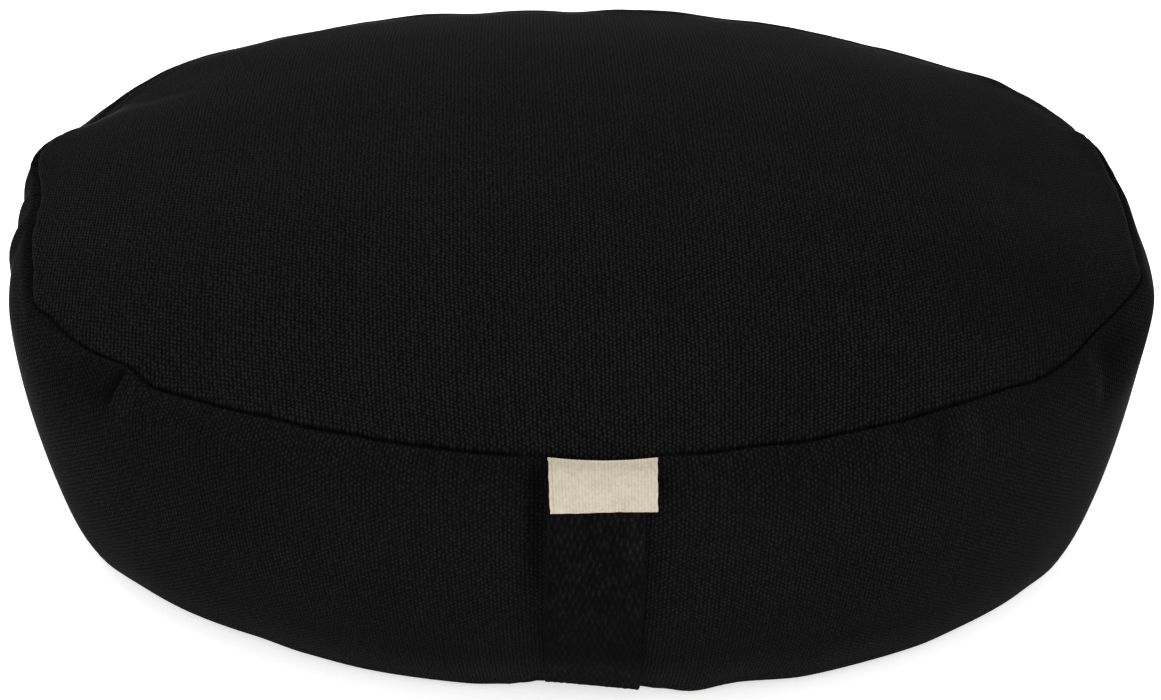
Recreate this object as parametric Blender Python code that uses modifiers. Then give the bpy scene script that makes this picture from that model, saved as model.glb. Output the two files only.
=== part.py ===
"""Oval sitting cushion of firm cotton duck, with a webbing strap and a bare label.

Units are metres and +Z is up. The cushion stands on Z = 0 and its front faces -Y.
Angles go round the plan in degrees: 0 is +X, 90 is the back, 270 is the front.
"""

import math
from collections import namedtuple

import bmesh
import bpy
from mathutils import Vector
from mathutils.bvhtree import BVHTree

OBJECT_NAME = "oval_sitting_cushion"
MM = 0.001

# The top seam's plan is an oval a little squarer than an ellipse.
SEAM_HALF_WIDTH = 0.1995
SEAM_HALF_DEPTH = 0.148
PLAN_POWER = 2.33

# The side, from the base up: the wall leans out to its widest and rolls in to the seam.
SEAM_HEIGHT = 0.108
WIDEST_HEIGHT = 0.0895
WALL_BULGE = 0.0067
BASE_INSET = 0.0165
LOWER_WALL_POWER = 1.67
SHOULDER_POWER = 3.0
BOTTOM_SEAM_HEIGHT = 0.005

# The crown of the top panel above its seam.
CROWN_RISE = 0.027
CROWN_POWER = 2.1
RISE_FADE_POWER = 3

# How far the stitching draws each seam in, and how wide the valley is on each side.
SEAM_PINCH = 0.0022
SEAM_VALLEY = 0.0035
BOTTOM_SEAM_PINCH = 0.0012
SEAM_PINCH_SLOPE = math.radians(55)
UNDER_SEAM_SHARE = 0.45

# The round blank that is pulled to the oval, and its number of segments.
BLANK_RADIUS = 0.17
BLANK_STEPS = 120
BLANK_MERGE = 0.00001
CROWN_SHARES = (0.0, 0.2, 0.4, 0.55, 0.68, 0.79, 0.88, 0.94)
SHOULDER_SHARES = (0.9, 0.76, 0.6, 0.42, 0.22)
LOWER_WALL_STEPS = 7
UNDERSIDE_SHARES = (0.6, 0.25)

# How the filled cover departs from the regular oval, in millimetres, at even steps
# round the plan from angle 0: the seam's reach outwards, its rise, and extra bulge.
Station = namedtuple("Station", "reach rise bulge")
STATIONS_MM = (
    Station(reach=-3.5, rise=-2.5, bulge=-2.0),
    Station(reach=-2.5, rise=-1.5, bulge=-1.5),
    Station(reach=-4.0, rise=-0.5, bulge=-0.5),
    Station(reach=-2.5, rise=3.5, bulge=0.0),
    Station(reach=-1.5, rise=3.5, bulge=0.0),
    Station(reach=1.0, rise=2.0, bulge=0.5),
    Station(reach=4.5, rise=-1.5, bulge=1.5),
    Station(reach=4.5, rise=-7.5, bulge=2.0),
    Station(reach=-7.5, rise=-1.5, bulge=0.5),
    Station(reach=-5.0, rise=1.0, bulge=0.5),
    Station(reach=-6.5, rise=-1.0, bulge=0.5),
    Station(reach=-0.5, rise=0.0, bulge=0.5),
    Station(reach=2.5, rise=-1.0, bulge=0.5),
    Station(reach=3.5, rise=2.0, bulge=0.0),
    Station(reach=0.0, rise=3.0, bulge=-0.5),
    Station(reach=-1.0, rise=2.5, bulge=-2.0),
)

# Kinks, where the seam jogs out or in and up or down: each one's middle and half width
# in degrees, then its reach outwards, its rise and how far it spreads, in millimetres.
Kink = namedtuple("Kink", "angle half_width reach rise spread")
KINKS_MM = (
    Kink(angle=20, half_width=9, reach=2.0, rise=0.5, spread=24),
    Kink(angle=142, half_width=7, reach=1.5, rise=0.0, spread=50),
    Kink(angle=153, half_width=12, reach=-3.5, rise=0.0, spread=80),
    Kink(angle=168, half_width=9, reach=2.0, rise=0.0, spread=24),
    Kink(angle=180, half_width=7, reach=-2.0, rise=0.0, spread=24),
    Kink(angle=214, half_width=7, reach=0.0, rise=1.5, spread=24),
    Kink(angle=219, half_width=6, reach=0.0, rise=-0.8, spread=24),
    Kink(angle=334, half_width=12, reach=-1.5, rise=1.0, spread=24),
    Kink(angle=347, half_width=7, reach=2.5, rise=0.0, spread=24),
)

# Puckers that run down the wall from the top seam: where each one starts, how many
# degrees it drifts on its way down, its half width, its depth (a ridge is negative)
# and its length down the wall, the last three in millimetres.
# It deepens over the first share of that length and fades after the second.
PUCKER_DEEPENS = 0.25
PUCKER_FADES = 0.35
Pucker = namedtuple("Pucker", "angle drift half_width depth length")
PUCKERS_MM = (
    Pucker(angle=215, drift=-4, half_width=9, depth=2.2, length=24),
    Pucker(angle=220, drift=-2, half_width=9, depth=-1.2, length=24),
    Pucker(angle=181, drift=4, half_width=11, depth=-1.8, length=26),
    Pucker(angle=172, drift=3, half_width=11, depth=1.8, length=34),
    Pucker(angle=311, drift=-1, half_width=10, depth=1.8, length=46),
    Pucker(angle=316, drift=1, half_width=9, depth=-1.4, length=56),
    Pucker(angle=331, drift=3, half_width=9, depth=-1.5, length=30),
    Pucker(angle=15, drift=-3, half_width=12, depth=1.6, length=40),
    Pucker(angle=64, drift=2, half_width=12, depth=1.8, length=44),
    Pucker(angle=108, drift=-2, half_width=12, depth=1.5, length=38),
    Pucker(angle=141, drift=3, half_width=12, depth=1.8, length=44),
)

# The webbing strap, upright on the front, in a shallow trough of the wall.
STRAP_CENTRE_X = 0.0042
STRAP_WIDTH = 0.0315
STRAP_THICKNESS = 0.002
TROUGH_DEPTH = 0.002
TROUGH_FLAT = 0.0175
TROUGH_EDGE = 0.028
TROUGH_FADE = 0.012

# The label, caught in the top seam over the strap.
LABEL_CENTRE_X = 0.0062
LABEL_WIDTH = 0.034
LABEL_HEIGHT = 0.0172
LABEL_THICKNESS = 0.001
LABEL_ROWS = 8

# Both sheets start this far down the wall from the seam, and share their rows.
SHEET_TOP_DROP = 0.001
SHEET_ROW = LABEL_HEIGHT / LABEL_ROWS
SHEET_COLUMNS = 6

# Clearance of a sheet from the highest points probed under it, the reach of that
# probe, and the number of short steps in which the front wall is measured. Between
# the probed points the surface stands up to 0.2 mm higher, so 0.3 mm stays clear.
CLEARANCE = 0.0005
PROBE_REACH = 0.03
PATH_STEPS = 600


def smooth_step(low, high, value):
    """Rise smoothly from 0 at low to 1 at high."""
    share = min(1.0, max(0.0, (value - low) / (high - low)))
    return share * share * (3.0 - 2.0 * share)


def station_value(column, angle):
    """Read a station column at an angle in radians, on a smooth closed curve, in metres."""
    place = (angle / math.tau) % 1.0 * len(STATIONS_MM)
    index = int(place)
    share = place - index
    before, start, end, after = (
        getattr(STATIONS_MM[(index + shift) % len(STATIONS_MM)], column)
        for shift in (-1, 0, 1, 2)
    )
    slope = end - before
    bend = 2.0 * before - 5.0 * start + 4.0 * end - after
    twist = 3.0 * start - before - 3.0 * end + after
    value = start + 0.5 * (slope * share + bend * share**2 + twist * share**3)
    return value * MM


def seam_radius(angle):
    """Distance from the middle of the plan to the top seam."""
    across = abs(math.cos(angle) / SEAM_HALF_WIDTH) ** PLAN_POWER
    along = abs(math.sin(angle) / SEAM_HALF_DEPTH) ** PLAN_POWER
    return (across + along) ** (-1.0 / PLAN_POWER) + station_value("reach", angle)


def wall_fullness(height):
    """How far out the wall is at a height: 1 at its widest, 0 at the seam and the base."""
    if height >= SEAM_HEIGHT:
        return 0.0
    if height >= WIDEST_HEIGHT:
        share = (height - WIDEST_HEIGHT) / (SEAM_HEIGHT - WIDEST_HEIGHT)
        return 1.0 - share**SHOULDER_POWER
    share = 1.0 - height / WIDEST_HEIGHT
    return (1.0 - share**LOWER_WALL_POWER) ** (1.0 / LOWER_WALL_POWER)


def wall_radius(height):
    """Radius of the round blank's wall at a height."""
    fullness = wall_fullness(height)
    inset = BASE_INSET * (1.0 - fullness) if height < WIDEST_HEIGHT else 0.0
    return BLANK_RADIUS + WALL_BULGE * fullness - inset


def crown_height(radius):
    """Height of the round blank's top panel at a radius."""
    return SEAM_HEIGHT + CROWN_RISE * (1.0 - (radius / BLANK_RADIUS) ** CROWN_POWER)


def blank_profile():
    """Points (radius, height) of the round blank, from the top's middle to the base's."""
    points = [(BLANK_RADIUS * share, crown_height(BLANK_RADIUS * share)) for share in CROWN_SHARES]
    edge = BLANK_RADIUS - SEAM_VALLEY
    points.append((edge, crown_height(edge)))
    points.append(
        (
            BLANK_RADIUS - SEAM_PINCH * math.cos(SEAM_PINCH_SLOPE),
            SEAM_HEIGHT - SEAM_PINCH * math.sin(SEAM_PINCH_SLOPE),
        )
    )
    shoulder = SEAM_HEIGHT - WIDEST_HEIGHT
    heights = [WIDEST_HEIGHT + shoulder * share for share in SHOULDER_SHARES]
    for step in range(LOWER_WALL_STEPS + 1):
        turn = math.radians(90.0) * step / LOWER_WALL_STEPS
        height = BOTTOM_SEAM_HEIGHT + (WIDEST_HEIGHT - BOTTOM_SEAM_HEIGHT) * math.cos(turn)
        heights.append(height)
    points += [(wall_radius(height), height) for height in heights]
    seam_radius_in, seam_height = points.pop()
    points.append((wall_radius(seam_height + SEAM_VALLEY), seam_height + SEAM_VALLEY))
    points.append((seam_radius_in - BOTTOM_SEAM_PINCH, seam_height))
    under_seam = seam_height * UNDER_SEAM_SHARE
    points.append((wall_radius(under_seam), under_seam))
    points.append((BLANK_RADIUS - BASE_INSET, 0.0))
    points += [((BLANK_RADIUS - BASE_INSET) * share, 0.0) for share in UNDERSIDE_SHARES]
    points.append((0.0, 0.0))
    return points


def kink_value(column, angle, from_seam):
    """Sum of a kink column at an angle and a distance from the seam, in metres."""
    value = 0.0
    for kink in KINKS_MM:
        turn = math.remainder(angle - math.radians(kink.angle), math.tau)
        aside = abs(turn) / math.radians(kink.half_width)
        away = from_seam / (kink.spread * MM)
        if aside < 1.0 and away < 1.0:
            across = 0.5 + 0.5 * math.cos(math.pi * aside)
            value += getattr(kink, column) * MM * across * (1.0 - away) ** 2
    return value


def pucker_depth(angle, below_seam):
    """Depth of all puckers together at an angle and a distance down the wall."""
    depth = 0.0
    for pucker in PUCKERS_MM:
        down = below_seam / (pucker.length * MM)
        if not 0.0 <= down < 1.0:
            continue
        middle = math.radians(pucker.angle + pucker.drift * down)
        turn = math.remainder(angle - middle, math.tau)
        aside = abs(turn) * seam_radius(angle) / (pucker.half_width * MM)
        if aside < 1.0:
            across = 0.5 + 0.5 * math.cos(math.pi * aside)
            along = smooth_step(0.0, PUCKER_DEEPENS, down)
            along *= 1.0 - smooth_step(PUCKER_FADES, 1.0, down)
            depth += pucker.depth * MM * across * along
    return depth


def trough_depth(x, below_seam):
    """Depth of the trough that the strap lies in."""
    aside = abs(x - STRAP_CENTRE_X)
    across = 1.0 - smooth_step(TROUGH_FLAT, TROUGH_EDGE, aside)
    return TROUGH_DEPTH * across * smooth_step(0.0, TROUGH_FADE, below_seam)


def pulled(point):
    """Move a point of the round blank to its place on the uneven oval cushion."""
    radius = math.hypot(point.x, point.y)
    height = point.z
    angle = math.atan2(point.y, point.x)
    plan = seam_radius(angle)
    on_disc = min(1.0, radius / (BLANK_RADIUS - BASE_INSET))
    reach = radius + (plan - BLANK_RADIUS) * on_disc
    rise = station_value("rise", angle)
    on_wall = 0.0 < height < SEAM_HEIGHT
    below_seam = SEAM_HEIGHT - height
    from_seam = below_seam if on_wall else max(0.0, BLANK_RADIUS - radius)
    if height > 0.0:
        reach += kink_value("reach", angle, from_seam)
        rise += kink_value("rise", angle, from_seam)
    if on_wall:
        reach += station_value("bulge", angle) * wall_fullness(height)
        reach -= pucker_depth(angle, below_seam)
        height += rise * max(0.0, 1.0 - below_seam / (SEAM_HEIGHT - WIDEST_HEIGHT))
    elif height >= SEAM_HEIGHT:
        height += rise * min(1.0, radius / BLANK_RADIUS) ** RISE_FADE_POWER
    x = reach * math.cos(angle)
    y = reach * math.sin(angle)
    if on_wall and y < 0.0:
        y += trough_depth(x, below_seam)
    return Vector((x, y, height))


def make_collection(name):
    """Return a new collection of that name, linked to the scene."""
    collection = bpy.data.collections.new(name)
    bpy.context.scene.collection.children.link(collection)
    return collection


def make_material(name, colour, roughness):
    """Return a plain Principled material."""
    material = bpy.data.materials.new(name)
    material.use_nodes = True
    shader = material.node_tree.nodes["Principled BSDF"]
    shader.inputs["Base Color"].default_value = (*colour, 1.0)
    shader.inputs["Roughness"].default_value = roughness
    shader.inputs["Metallic"].default_value = 0.0
    return material


def make_cushion(collection):
    """Turn the round blank and pull it to the oval."""
    profile = bmesh.new()
    verts = [profile.verts.new((radius, 0.0, height)) for radius, height in blank_profile()]
    for start, end in zip(verts, verts[1:]):
        profile.edges.new((start, end))
    blank_mesh = bpy.data.meshes.new("cushion_blank")
    profile.to_mesh(blank_mesh)
    profile.free()
    blank = bpy.data.objects.new("cushion_blank", blank_mesh)
    collection.objects.link(blank)
    screw = blank.modifiers.new("turn", "SCREW")
    screw.steps = BLANK_STEPS
    screw.render_steps = BLANK_STEPS
    screw.use_merge_vertices = True
    screw.merge_threshold = BLANK_MERGE
    evaluated = blank.evaluated_get(bpy.context.evaluated_depsgraph_get())
    mesh = bpy.data.meshes.new_from_object(evaluated)
    mesh.name = "cushion"
    bpy.data.objects.remove(blank)
    for vertex in mesh.vertices:
        vertex.co = pulled(vertex.co)
    mesh.shade_smooth()
    cushion = bpy.data.objects.new("cushion", mesh)
    collection.objects.link(cushion)
    return cushion


def wall_path():
    """Places (y, z) and outward normals down the front wall, from seam to seam."""
    angle = math.atan2(-SEAM_HALF_DEPTH, STRAP_CENTRE_X)
    drop = SEAM_HEIGHT - BOTTOM_SEAM_HEIGHT
    fine = []
    for step in range(1, PATH_STEPS + 1):
        height = SEAM_HEIGHT - drop * step / PATH_STEPS
        radius = wall_radius(height)
        place = pulled(Vector((radius * math.cos(angle), radius * math.sin(angle), height)))
        fine.append(Vector((place.y, place.z)))
    path = []
    travelled = 0.0
    for before, here, after in zip(fine, fine[1:], fine[2:]):
        travelled += (here - before).length
        if travelled >= SHEET_TOP_DROP + SHEET_ROW * len(path):
            along = (after - before).normalized()
            path.append((here, Vector((along.y, -along.x))))
    return path


def front_reach(targets, x, place, normal):
    """How far the targets' outermost surface stands out from a place on the path."""
    away = Vector((0.0, normal.x, normal.y))
    origin = Vector((x, place.x, place.y)) + away * PROBE_REACH
    hits = [target.ray_cast(origin, -away, 2.0 * PROBE_REACH)[3] for target in targets]
    reaches = [PROBE_REACH - distance for distance in hits if distance is not None]
    return max(reaches, default=0.0)


def make_laid_sheet(name, collection, under, path, centre_x, width, thickness):
    """Lay a sheet down the front wall along a path, clear of every object under it."""
    depsgraph = bpy.context.evaluated_depsgraph_get()
    targets = [BVHTree.FromObject(piece, depsgraph) for piece in under]
    last = len(path) - 1
    xs = [centre_x + width * (column / SHEET_COLUMNS - 0.5) for column in range(SHEET_COLUMNS + 1)]
    reaches = [
        max(front_reach(targets, x, place, normal) for x in xs) for place, normal in path
    ]
    bm = bmesh.new()
    bmesh.ops.create_grid(bm, x_segments=SHEET_COLUMNS, y_segments=last, size=0.5)
    for vertex in bm.verts:
        row = round((0.5 - vertex.co.y) * last)
        place, normal = path[row]
        clear = CLEARANCE + max(0.0, *reaches[max(0, row - 1) : row + 2])
        laid = place + normal * clear
        vertex.co = (centre_x + width * vertex.co.x, laid.x, laid.y)
    bm.normal_update()
    facing = sum((face.normal for face in bm.faces), Vector())
    if facing.y > 0.0:
        bmesh.ops.reverse_faces(bm, faces=bm.faces)
    mesh = bpy.data.meshes.new(name)
    bm.to_mesh(mesh)
    bm.free()
    mesh.shade_smooth()
    sheet = bpy.data.objects.new(name, mesh)
    collection.objects.link(sheet)
    solid = sheet.modifiers.new("thickness", "SOLIDIFY")
    solid.thickness = thickness
    solid.offset = 1.0
    return sheet


def main():
    for old in list(bpy.data.objects):
        bpy.data.objects.remove(old)
    collection = make_collection(OBJECT_NAME)

    cushion = make_cushion(collection)
    cushion.data.materials.append(make_material("black_duck", (0.012, 0.012, 0.013), 0.95))
    bpy.context.view_layer.update()

    path = wall_path()
    strap = make_laid_sheet(
        "handle_strap",
        collection,
        under=[cushion],
        path=path,
        centre_x=STRAP_CENTRE_X,
        width=STRAP_WIDTH,
        thickness=STRAP_THICKNESS,
    )
    strap.data.materials.append(make_material("black_webbing", (0.008, 0.008, 0.009), 0.85))
    bpy.context.view_layer.update()

    label = make_laid_sheet(
        "label",
        collection,
        under=[cushion, strap],
        path=path[: LABEL_ROWS + 1],
        centre_x=LABEL_CENTRE_X,
        width=LABEL_WIDTH,
        thickness=LABEL_THICKNESS,
    )
    label.data.materials.append(make_material("cream_tape", (0.75, 0.70, 0.56), 0.9))


main()
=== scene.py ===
# %% [markdown]
# # A firm oval sitting cushion in black cotton duck
#
# The real object is a sewn cover packed tight with grain hulls: an oval top panel,
# one side band and a flat base, with a webbing strap upright on its front and a small
# cream tab caught in the seam above the strap. This lesson dresses a fixed frame of
# plain solids in its finished looks. The frame holds the real sizes, so every piece
# made here goes where the frame's solid of the same purpose already lies.

# %% Load the fixed frame
import math
from collections import namedtuple

import bmesh
import bpy
import numpy as np
from mathutils import Matrix, Vector, noise
from mathutils.bvhtree import BVHTree


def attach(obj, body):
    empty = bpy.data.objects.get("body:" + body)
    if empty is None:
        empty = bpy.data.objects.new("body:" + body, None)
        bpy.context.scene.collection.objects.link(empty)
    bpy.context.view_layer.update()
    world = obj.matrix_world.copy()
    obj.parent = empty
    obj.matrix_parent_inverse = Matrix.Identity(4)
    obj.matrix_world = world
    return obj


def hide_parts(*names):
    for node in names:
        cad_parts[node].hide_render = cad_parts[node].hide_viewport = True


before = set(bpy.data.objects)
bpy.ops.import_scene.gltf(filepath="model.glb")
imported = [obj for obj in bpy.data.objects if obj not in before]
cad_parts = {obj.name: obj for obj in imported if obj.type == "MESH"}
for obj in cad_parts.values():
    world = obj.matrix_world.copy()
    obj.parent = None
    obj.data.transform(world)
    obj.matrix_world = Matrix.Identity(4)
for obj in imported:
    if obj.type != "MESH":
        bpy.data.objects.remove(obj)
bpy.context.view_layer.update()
MM = 0.001
print("frame nodes:", sorted(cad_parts))

# %% [markdown]
# ## The camera
#
# A photograph's viewpoint can be found by eye, or worked out from an outline whose
# real size is known. Here it was worked out: the lens is long, about 89 mm, so the
# camera stands a metre away and looks down at 33 degrees. The camera's three axes are
# written out as a matrix, because a small roll is easier to read there than in Euler
# angles.

# %% Set up the camera
LOOKED_AT = Vector((0.0, 0.0, 60 * MM))
CAMERA_ELEVATION = math.radians(32.92)
CAMERA_AZIMUTH = -0.0170
CAMERA_ROLL = 0.0093
CAMERA_DISTANCE = 1.0389
LENS_MM = 88.97
SENSOR_MM = 36.0
SHIFT_X = 0.0044
SHIFT_Y = -0.0269

towards_camera = Vector(
    (
        math.sin(CAMERA_AZIMUTH) * math.cos(CAMERA_ELEVATION),
        -math.cos(CAMERA_AZIMUTH) * math.cos(CAMERA_ELEVATION),
        math.sin(CAMERA_ELEVATION),
    )
)
level_right = Vector((math.cos(CAMERA_AZIMUTH), math.sin(CAMERA_AZIMUTH), 0.0))
level_up = towards_camera.cross(level_right)
camera_right = math.cos(CAMERA_ROLL) * level_right + math.sin(CAMERA_ROLL) * level_up
camera_up = towards_camera.cross(camera_right)

bpy.ops.object.camera_add()
camera = bpy.context.object
camera.name = "camera"
turn = Matrix((camera_right, camera_up, towards_camera)).transposed()
camera.matrix_world = Matrix.LocRotScale(
    LOOKED_AT + CAMERA_DISTANCE * towards_camera, turn.to_quaternion(), None
)
camera.data.sensor_width = SENSOR_MM
camera.data.lens = LENS_MM
camera.data.shift_x = SHIFT_X
camera.data.shift_y = SHIFT_Y
bpy.context.scene.camera = camera
print("camera stands at", [round(value, 3) for value in camera.matrix_world.translation])

# %% [markdown]
# ## Floor and light
#
# Black cloth is hard to light: it returns a hundredth of what falls on it, and what
# tells its shape is the soft pale rim where it turns away from the eye. A bright white
# room does that with no hard lamp, so the world is white all round. One wide lamp high
# behind on the left gives the top and the seam a little direction, and a weak one low
# on the right picks out that edge.

# %% Make the floor and the lights
FLOOR_SIZE = 8.0
FLOOR_DROP = 0.1 * MM
WORLD_STRENGTH = 0.96
WHITE = (1.0, 1.0, 1.0, 1.0)
SOFTBOX_SIZE = 1.4
SOFTBOX_PLACE = Vector((-0.5, 0.55, 1.7))
SOFTBOX_WATTS = 17.0
EDGE_LIGHT_SIZE = 0.9
EDGE_LIGHT_PLACE = Vector((1.6, 0.35, 0.4))
EDGE_LIGHT_WATTS = 1.5


def deselect():
    """Deselect every object, because an operator acts on all that is selected."""
    bpy.ops.object.select_all(action="DESELECT")


deselect()
bpy.ops.mesh.primitive_plane_add(size=FLOOR_SIZE, location=(0.0, 0.0, -FLOOR_DROP))
floor = bpy.context.object
floor.name = "floor"
bpy.ops.object.transform_apply(location=True)

world = bpy.data.worlds.new("white_room")
world.use_nodes = True
background = world.node_tree.nodes["Background"]
background.inputs["Color"].default_value = WHITE
background.inputs["Strength"].default_value = WORLD_STRENGTH
bpy.context.scene.world = world

for name, spot, size, watts in (
    ("softbox", SOFTBOX_PLACE, SOFTBOX_SIZE, SOFTBOX_WATTS),
    ("edge_light", EDGE_LIGHT_PLACE, EDGE_LIGHT_SIZE, EDGE_LIGHT_WATTS),
):
    bpy.ops.object.light_add(type="AREA", location=spot)
    lamp = bpy.context.object
    lamp.name = name
    lamp.data.size = size
    lamp.data.energy = watts
    lamp.rotation_euler = (LOOKED_AT - spot).to_track_quat("-Z", "Y").to_euler()
bpy.context.scene.view_settings.view_transform = "Standard"
print("lit by a white room and two lamps")

# %% [markdown]
# ## The cushion's measures
#
# A drum cushion is cut as two ovals and a band. Filled, it is nowhere regular: the
# seam wanders in and out and up and down by a few millimetres as the fill settles.
# The regular shape is a handful of sizes. How it departs from them is a short table
# of stations at even steps round the plan, which a smooth closed curve joins, and a
# table of the few places where the seam jogs.

# %% Name the cushion's sizes
SEAM_HALF_WIDTH = 199.5 * MM
SEAM_HALF_DEPTH = 148 * MM
PLAN_POWER = 2.33
SEAM_HEIGHT = 108 * MM
WIDEST_HEIGHT = 89.5 * MM
WALL_BULGE = 6.7 * MM
BASE_INSET = 16.5 * MM
LOWER_WALL_POWER = 1.67
SHOULDER_POWER = 3.0
BOTTOM_SEAM_HEIGHT = 5 * MM
CROWN_RISE = 27 * MM
CROWN_POWER = 2.1
RISE_FADE_POWER = 3
BLANK_RADIUS = 170 * MM
BASE_RADIUS = BLANK_RADIUS - BASE_INSET
NEAR = 0.01 * MM


def table(row_kind, *rows):
    """A table with named columns: each row of numbers becomes one of that kind."""
    return tuple(row_kind(*row) for row in rows)


# Angles go round the plan in degrees: 0 is +X, 90 is the back, 270 is the front. The
# stations are 22.5 degrees apart, and the first is at 0.
Station = namedtuple("Station", "reach rise bulge")
STATIONS_MM = table(
    Station,
    (-3.5, -2.5, -2.0), (-2.5, -1.5, -1.5), (-4.0, -0.5, -0.5), (-2.5, 3.5, 0.0),
    (-1.5, 3.5, 0.0), (1.0, 2.0, 0.5), (4.5, -1.5, 1.5), (4.5, -7.5, 2.0),
    (-7.5, -1.5, 0.5), (-5.0, 1.0, 0.5), (-6.5, -1.0, 0.5), (-0.5, 0.0, 0.5),
    (2.5, -1.0, 0.5), (3.5, 2.0, 0.0), (0.0, 3.0, -0.5), (-1.0, 2.5, -2.0),
)

# Half widths are in degrees too. A jog fades out on the cloth within its spread.
Kink = namedtuple("Kink", "angle half_width reach rise spread")
KINKS_MM = table(
    Kink,
    (20, 9, 2.0, 0.5, 24), (142, 7, 1.5, 0.0, 50), (153, 12, -3.5, 0.0, 80),
    (168, 9, 2.0, 0.0, 24), (180, 7, -2.0, 0.0, 24), (214, 7, 0.0, 1.5, 24),
    (219, 6, 0.0, -0.8, 24), (334, 12, -1.5, 1.0, 24), (347, 7, 2.5, 0.0, 24),
)
print("seam is", round(2000 * SEAM_HALF_WIDTH), "by", round(2000 * SEAM_HALF_DEPTH), "mm")

# %% [markdown]
# A size at any angle or height is then worked out by a small function. Each takes a
# whole array of points at once, which shapes a fine mesh in a moment where a loop over
# its points would take minutes.

# %% Work out the regular shape
def smooth_step(low, high, value):
    """Rise smoothly from 0 at low to 1 at high."""
    share = np.clip((value - low) / (high - low), 0.0, 1.0)
    return share * share * (3.0 - 2.0 * share)


def hump(aside):
    """Rise smoothly from 0 at -1 and 1 to 1 in the middle, and stay 0 outside."""
    return np.where(np.abs(aside) < 1.0, 0.5 + 0.5 * np.cos(math.pi * aside), 0.0)


def turn_from(angle, degrees):
    """The turn from a table's angle in degrees to an angle, the short way round."""
    return np.remainder(angle - math.radians(degrees) + math.pi, math.tau) - math.pi


def station_value(column, angle):
    """Read a station column at an angle, on a smooth closed curve, in metres."""
    values = np.array([getattr(station, column) for station in STATIONS_MM]) * MM
    place = (angle / math.tau) % 1.0 * len(values)
    index = place.astype(int)
    share = place - index
    before, start, end, after = (values[(index + shift) % len(values)] for shift in (-1, 0, 1, 2))
    slope = end - before
    bend = 2.0 * before - 5.0 * start + 4.0 * end - after
    twist = 3.0 * start - before - 3.0 * end + after
    return start + 0.5 * (slope * share + bend * share**2 + twist * share**3)


def kink_value(column, angle, from_seam):
    """Sum of a kink column at an angle and a distance from the seam, in metres."""
    value = np.zeros_like(angle)
    for kink in KINKS_MM:
        across = hump(turn_from(angle, kink.angle) / math.radians(kink.half_width))
        along = np.clip(1.0 - from_seam / (kink.spread * MM), 0.0, 1.0) ** 2
        value += getattr(kink, column) * MM * across * along
    return value


def seam_radius(angle):
    """Distance from the middle of the plan to the top seam."""
    across = np.abs(np.cos(angle) / SEAM_HALF_WIDTH) ** PLAN_POWER
    along = np.abs(np.sin(angle) / SEAM_HALF_DEPTH) ** PLAN_POWER
    return (across + along) ** (-1.0 / PLAN_POWER) + station_value("reach", angle)


def wall_fullness(height):
    """How far out the wall is at a height: 1 at its widest, 0 at the seam and the base."""
    above = np.clip((height - WIDEST_HEIGHT) / (SEAM_HEIGHT - WIDEST_HEIGHT), 0.0, 1.0)
    below = np.clip(1.0 - height / WIDEST_HEIGHT, 0.0, 1.0)
    shoulder = 1.0 - above**SHOULDER_POWER
    lower = (1.0 - below**LOWER_WALL_POWER) ** (1.0 / LOWER_WALL_POWER)
    return np.where(height >= WIDEST_HEIGHT, shoulder, lower)


def wall_radius(height):
    """Radius of the round blank's wall at a height."""
    fullness = wall_fullness(height)
    inset = np.where(height < WIDEST_HEIGHT, BASE_INSET * (1.0 - fullness), 0.0)
    return BLANK_RADIUS + WALL_BULGE * fullness - inset


def crown_height(radius):
    """Height of the round blank's top panel at a radius."""
    share = np.clip(radius / BLANK_RADIUS, 0.0, 1.0)
    return SEAM_HEIGHT + CROWN_RISE * (1.0 - share**CROWN_POWER)


print("crown stands", round(float(crown_height(0.0)) / MM), "mm high")

# %% [markdown]
# ## A round blank
#
# A sewn cover could be carved from a remeshed block, but its seams would then cut
# across the faces at random. Here the blank is grown from the seam itself: a circle
# of edges is extruded ring by ring down the wall and under the base, and once more
# inwards over the crown, so the seam is one clean edge ring from the start. Fine rings
# lie close to each seam, where the cloth turns sharply. The flat middles are closed
# with a grid, which gives even squares where a fan would crowd together.

# %% Grow the blank ring by ring
AROUND = 256
GRID_SPAN = AROUND // 4
GRID_RADIUS = 112 * MM
CROWN_RINGS = 12
WALL_RINGS = 24
BASE_RINGS = 8
FINE_RINGS = (0.5 * MM, 1.1 * MM, 2.0 * MM, 3.2 * MM)
UNDER_SEAM_HEIGHT = 2 * MM
PROFILE_SAMPLES = 2000


def run_along(x, y):
    """Distances along a line of places, from 0 at its first."""
    return np.concatenate([[0.0], np.cumsum(np.hypot(np.diff(x), np.diff(y)))])


def even_rings(radii, heights, count):
    """Places (radius, height) down a finely sampled profile: fine ones at both ends
    and count even ones between, the profile's first point left out."""
    path = run_along(radii, heights)
    inner = np.linspace(FINE_RINGS[-1], path[-1] - FINE_RINGS[-1], count)
    ends = path[-1] - np.array(FINE_RINGS[-2::-1])
    wanted = np.concatenate([FINE_RINGS[:-1], inner, ends, path[-1:]])
    return list(zip(np.interp(wanted, path, radii), np.interp(wanted, path, heights)))


def grow_rings(radius, height, rings):
    """Extrude the selected edge ring through a list of places (radius, height)."""
    for next_radius, next_height in rings:
        bpy.ops.mesh.extrude_edges_move()
        middle = (0.0, 0.0, height)
        scale = next_radius / radius
        bpy.ops.transform.resize(value=(scale, scale, 1.0), center_override=middle)
        bpy.ops.transform.translate(value=(0.0, 0.0, next_height - height))
        radius, height = next_radius, next_height


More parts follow.
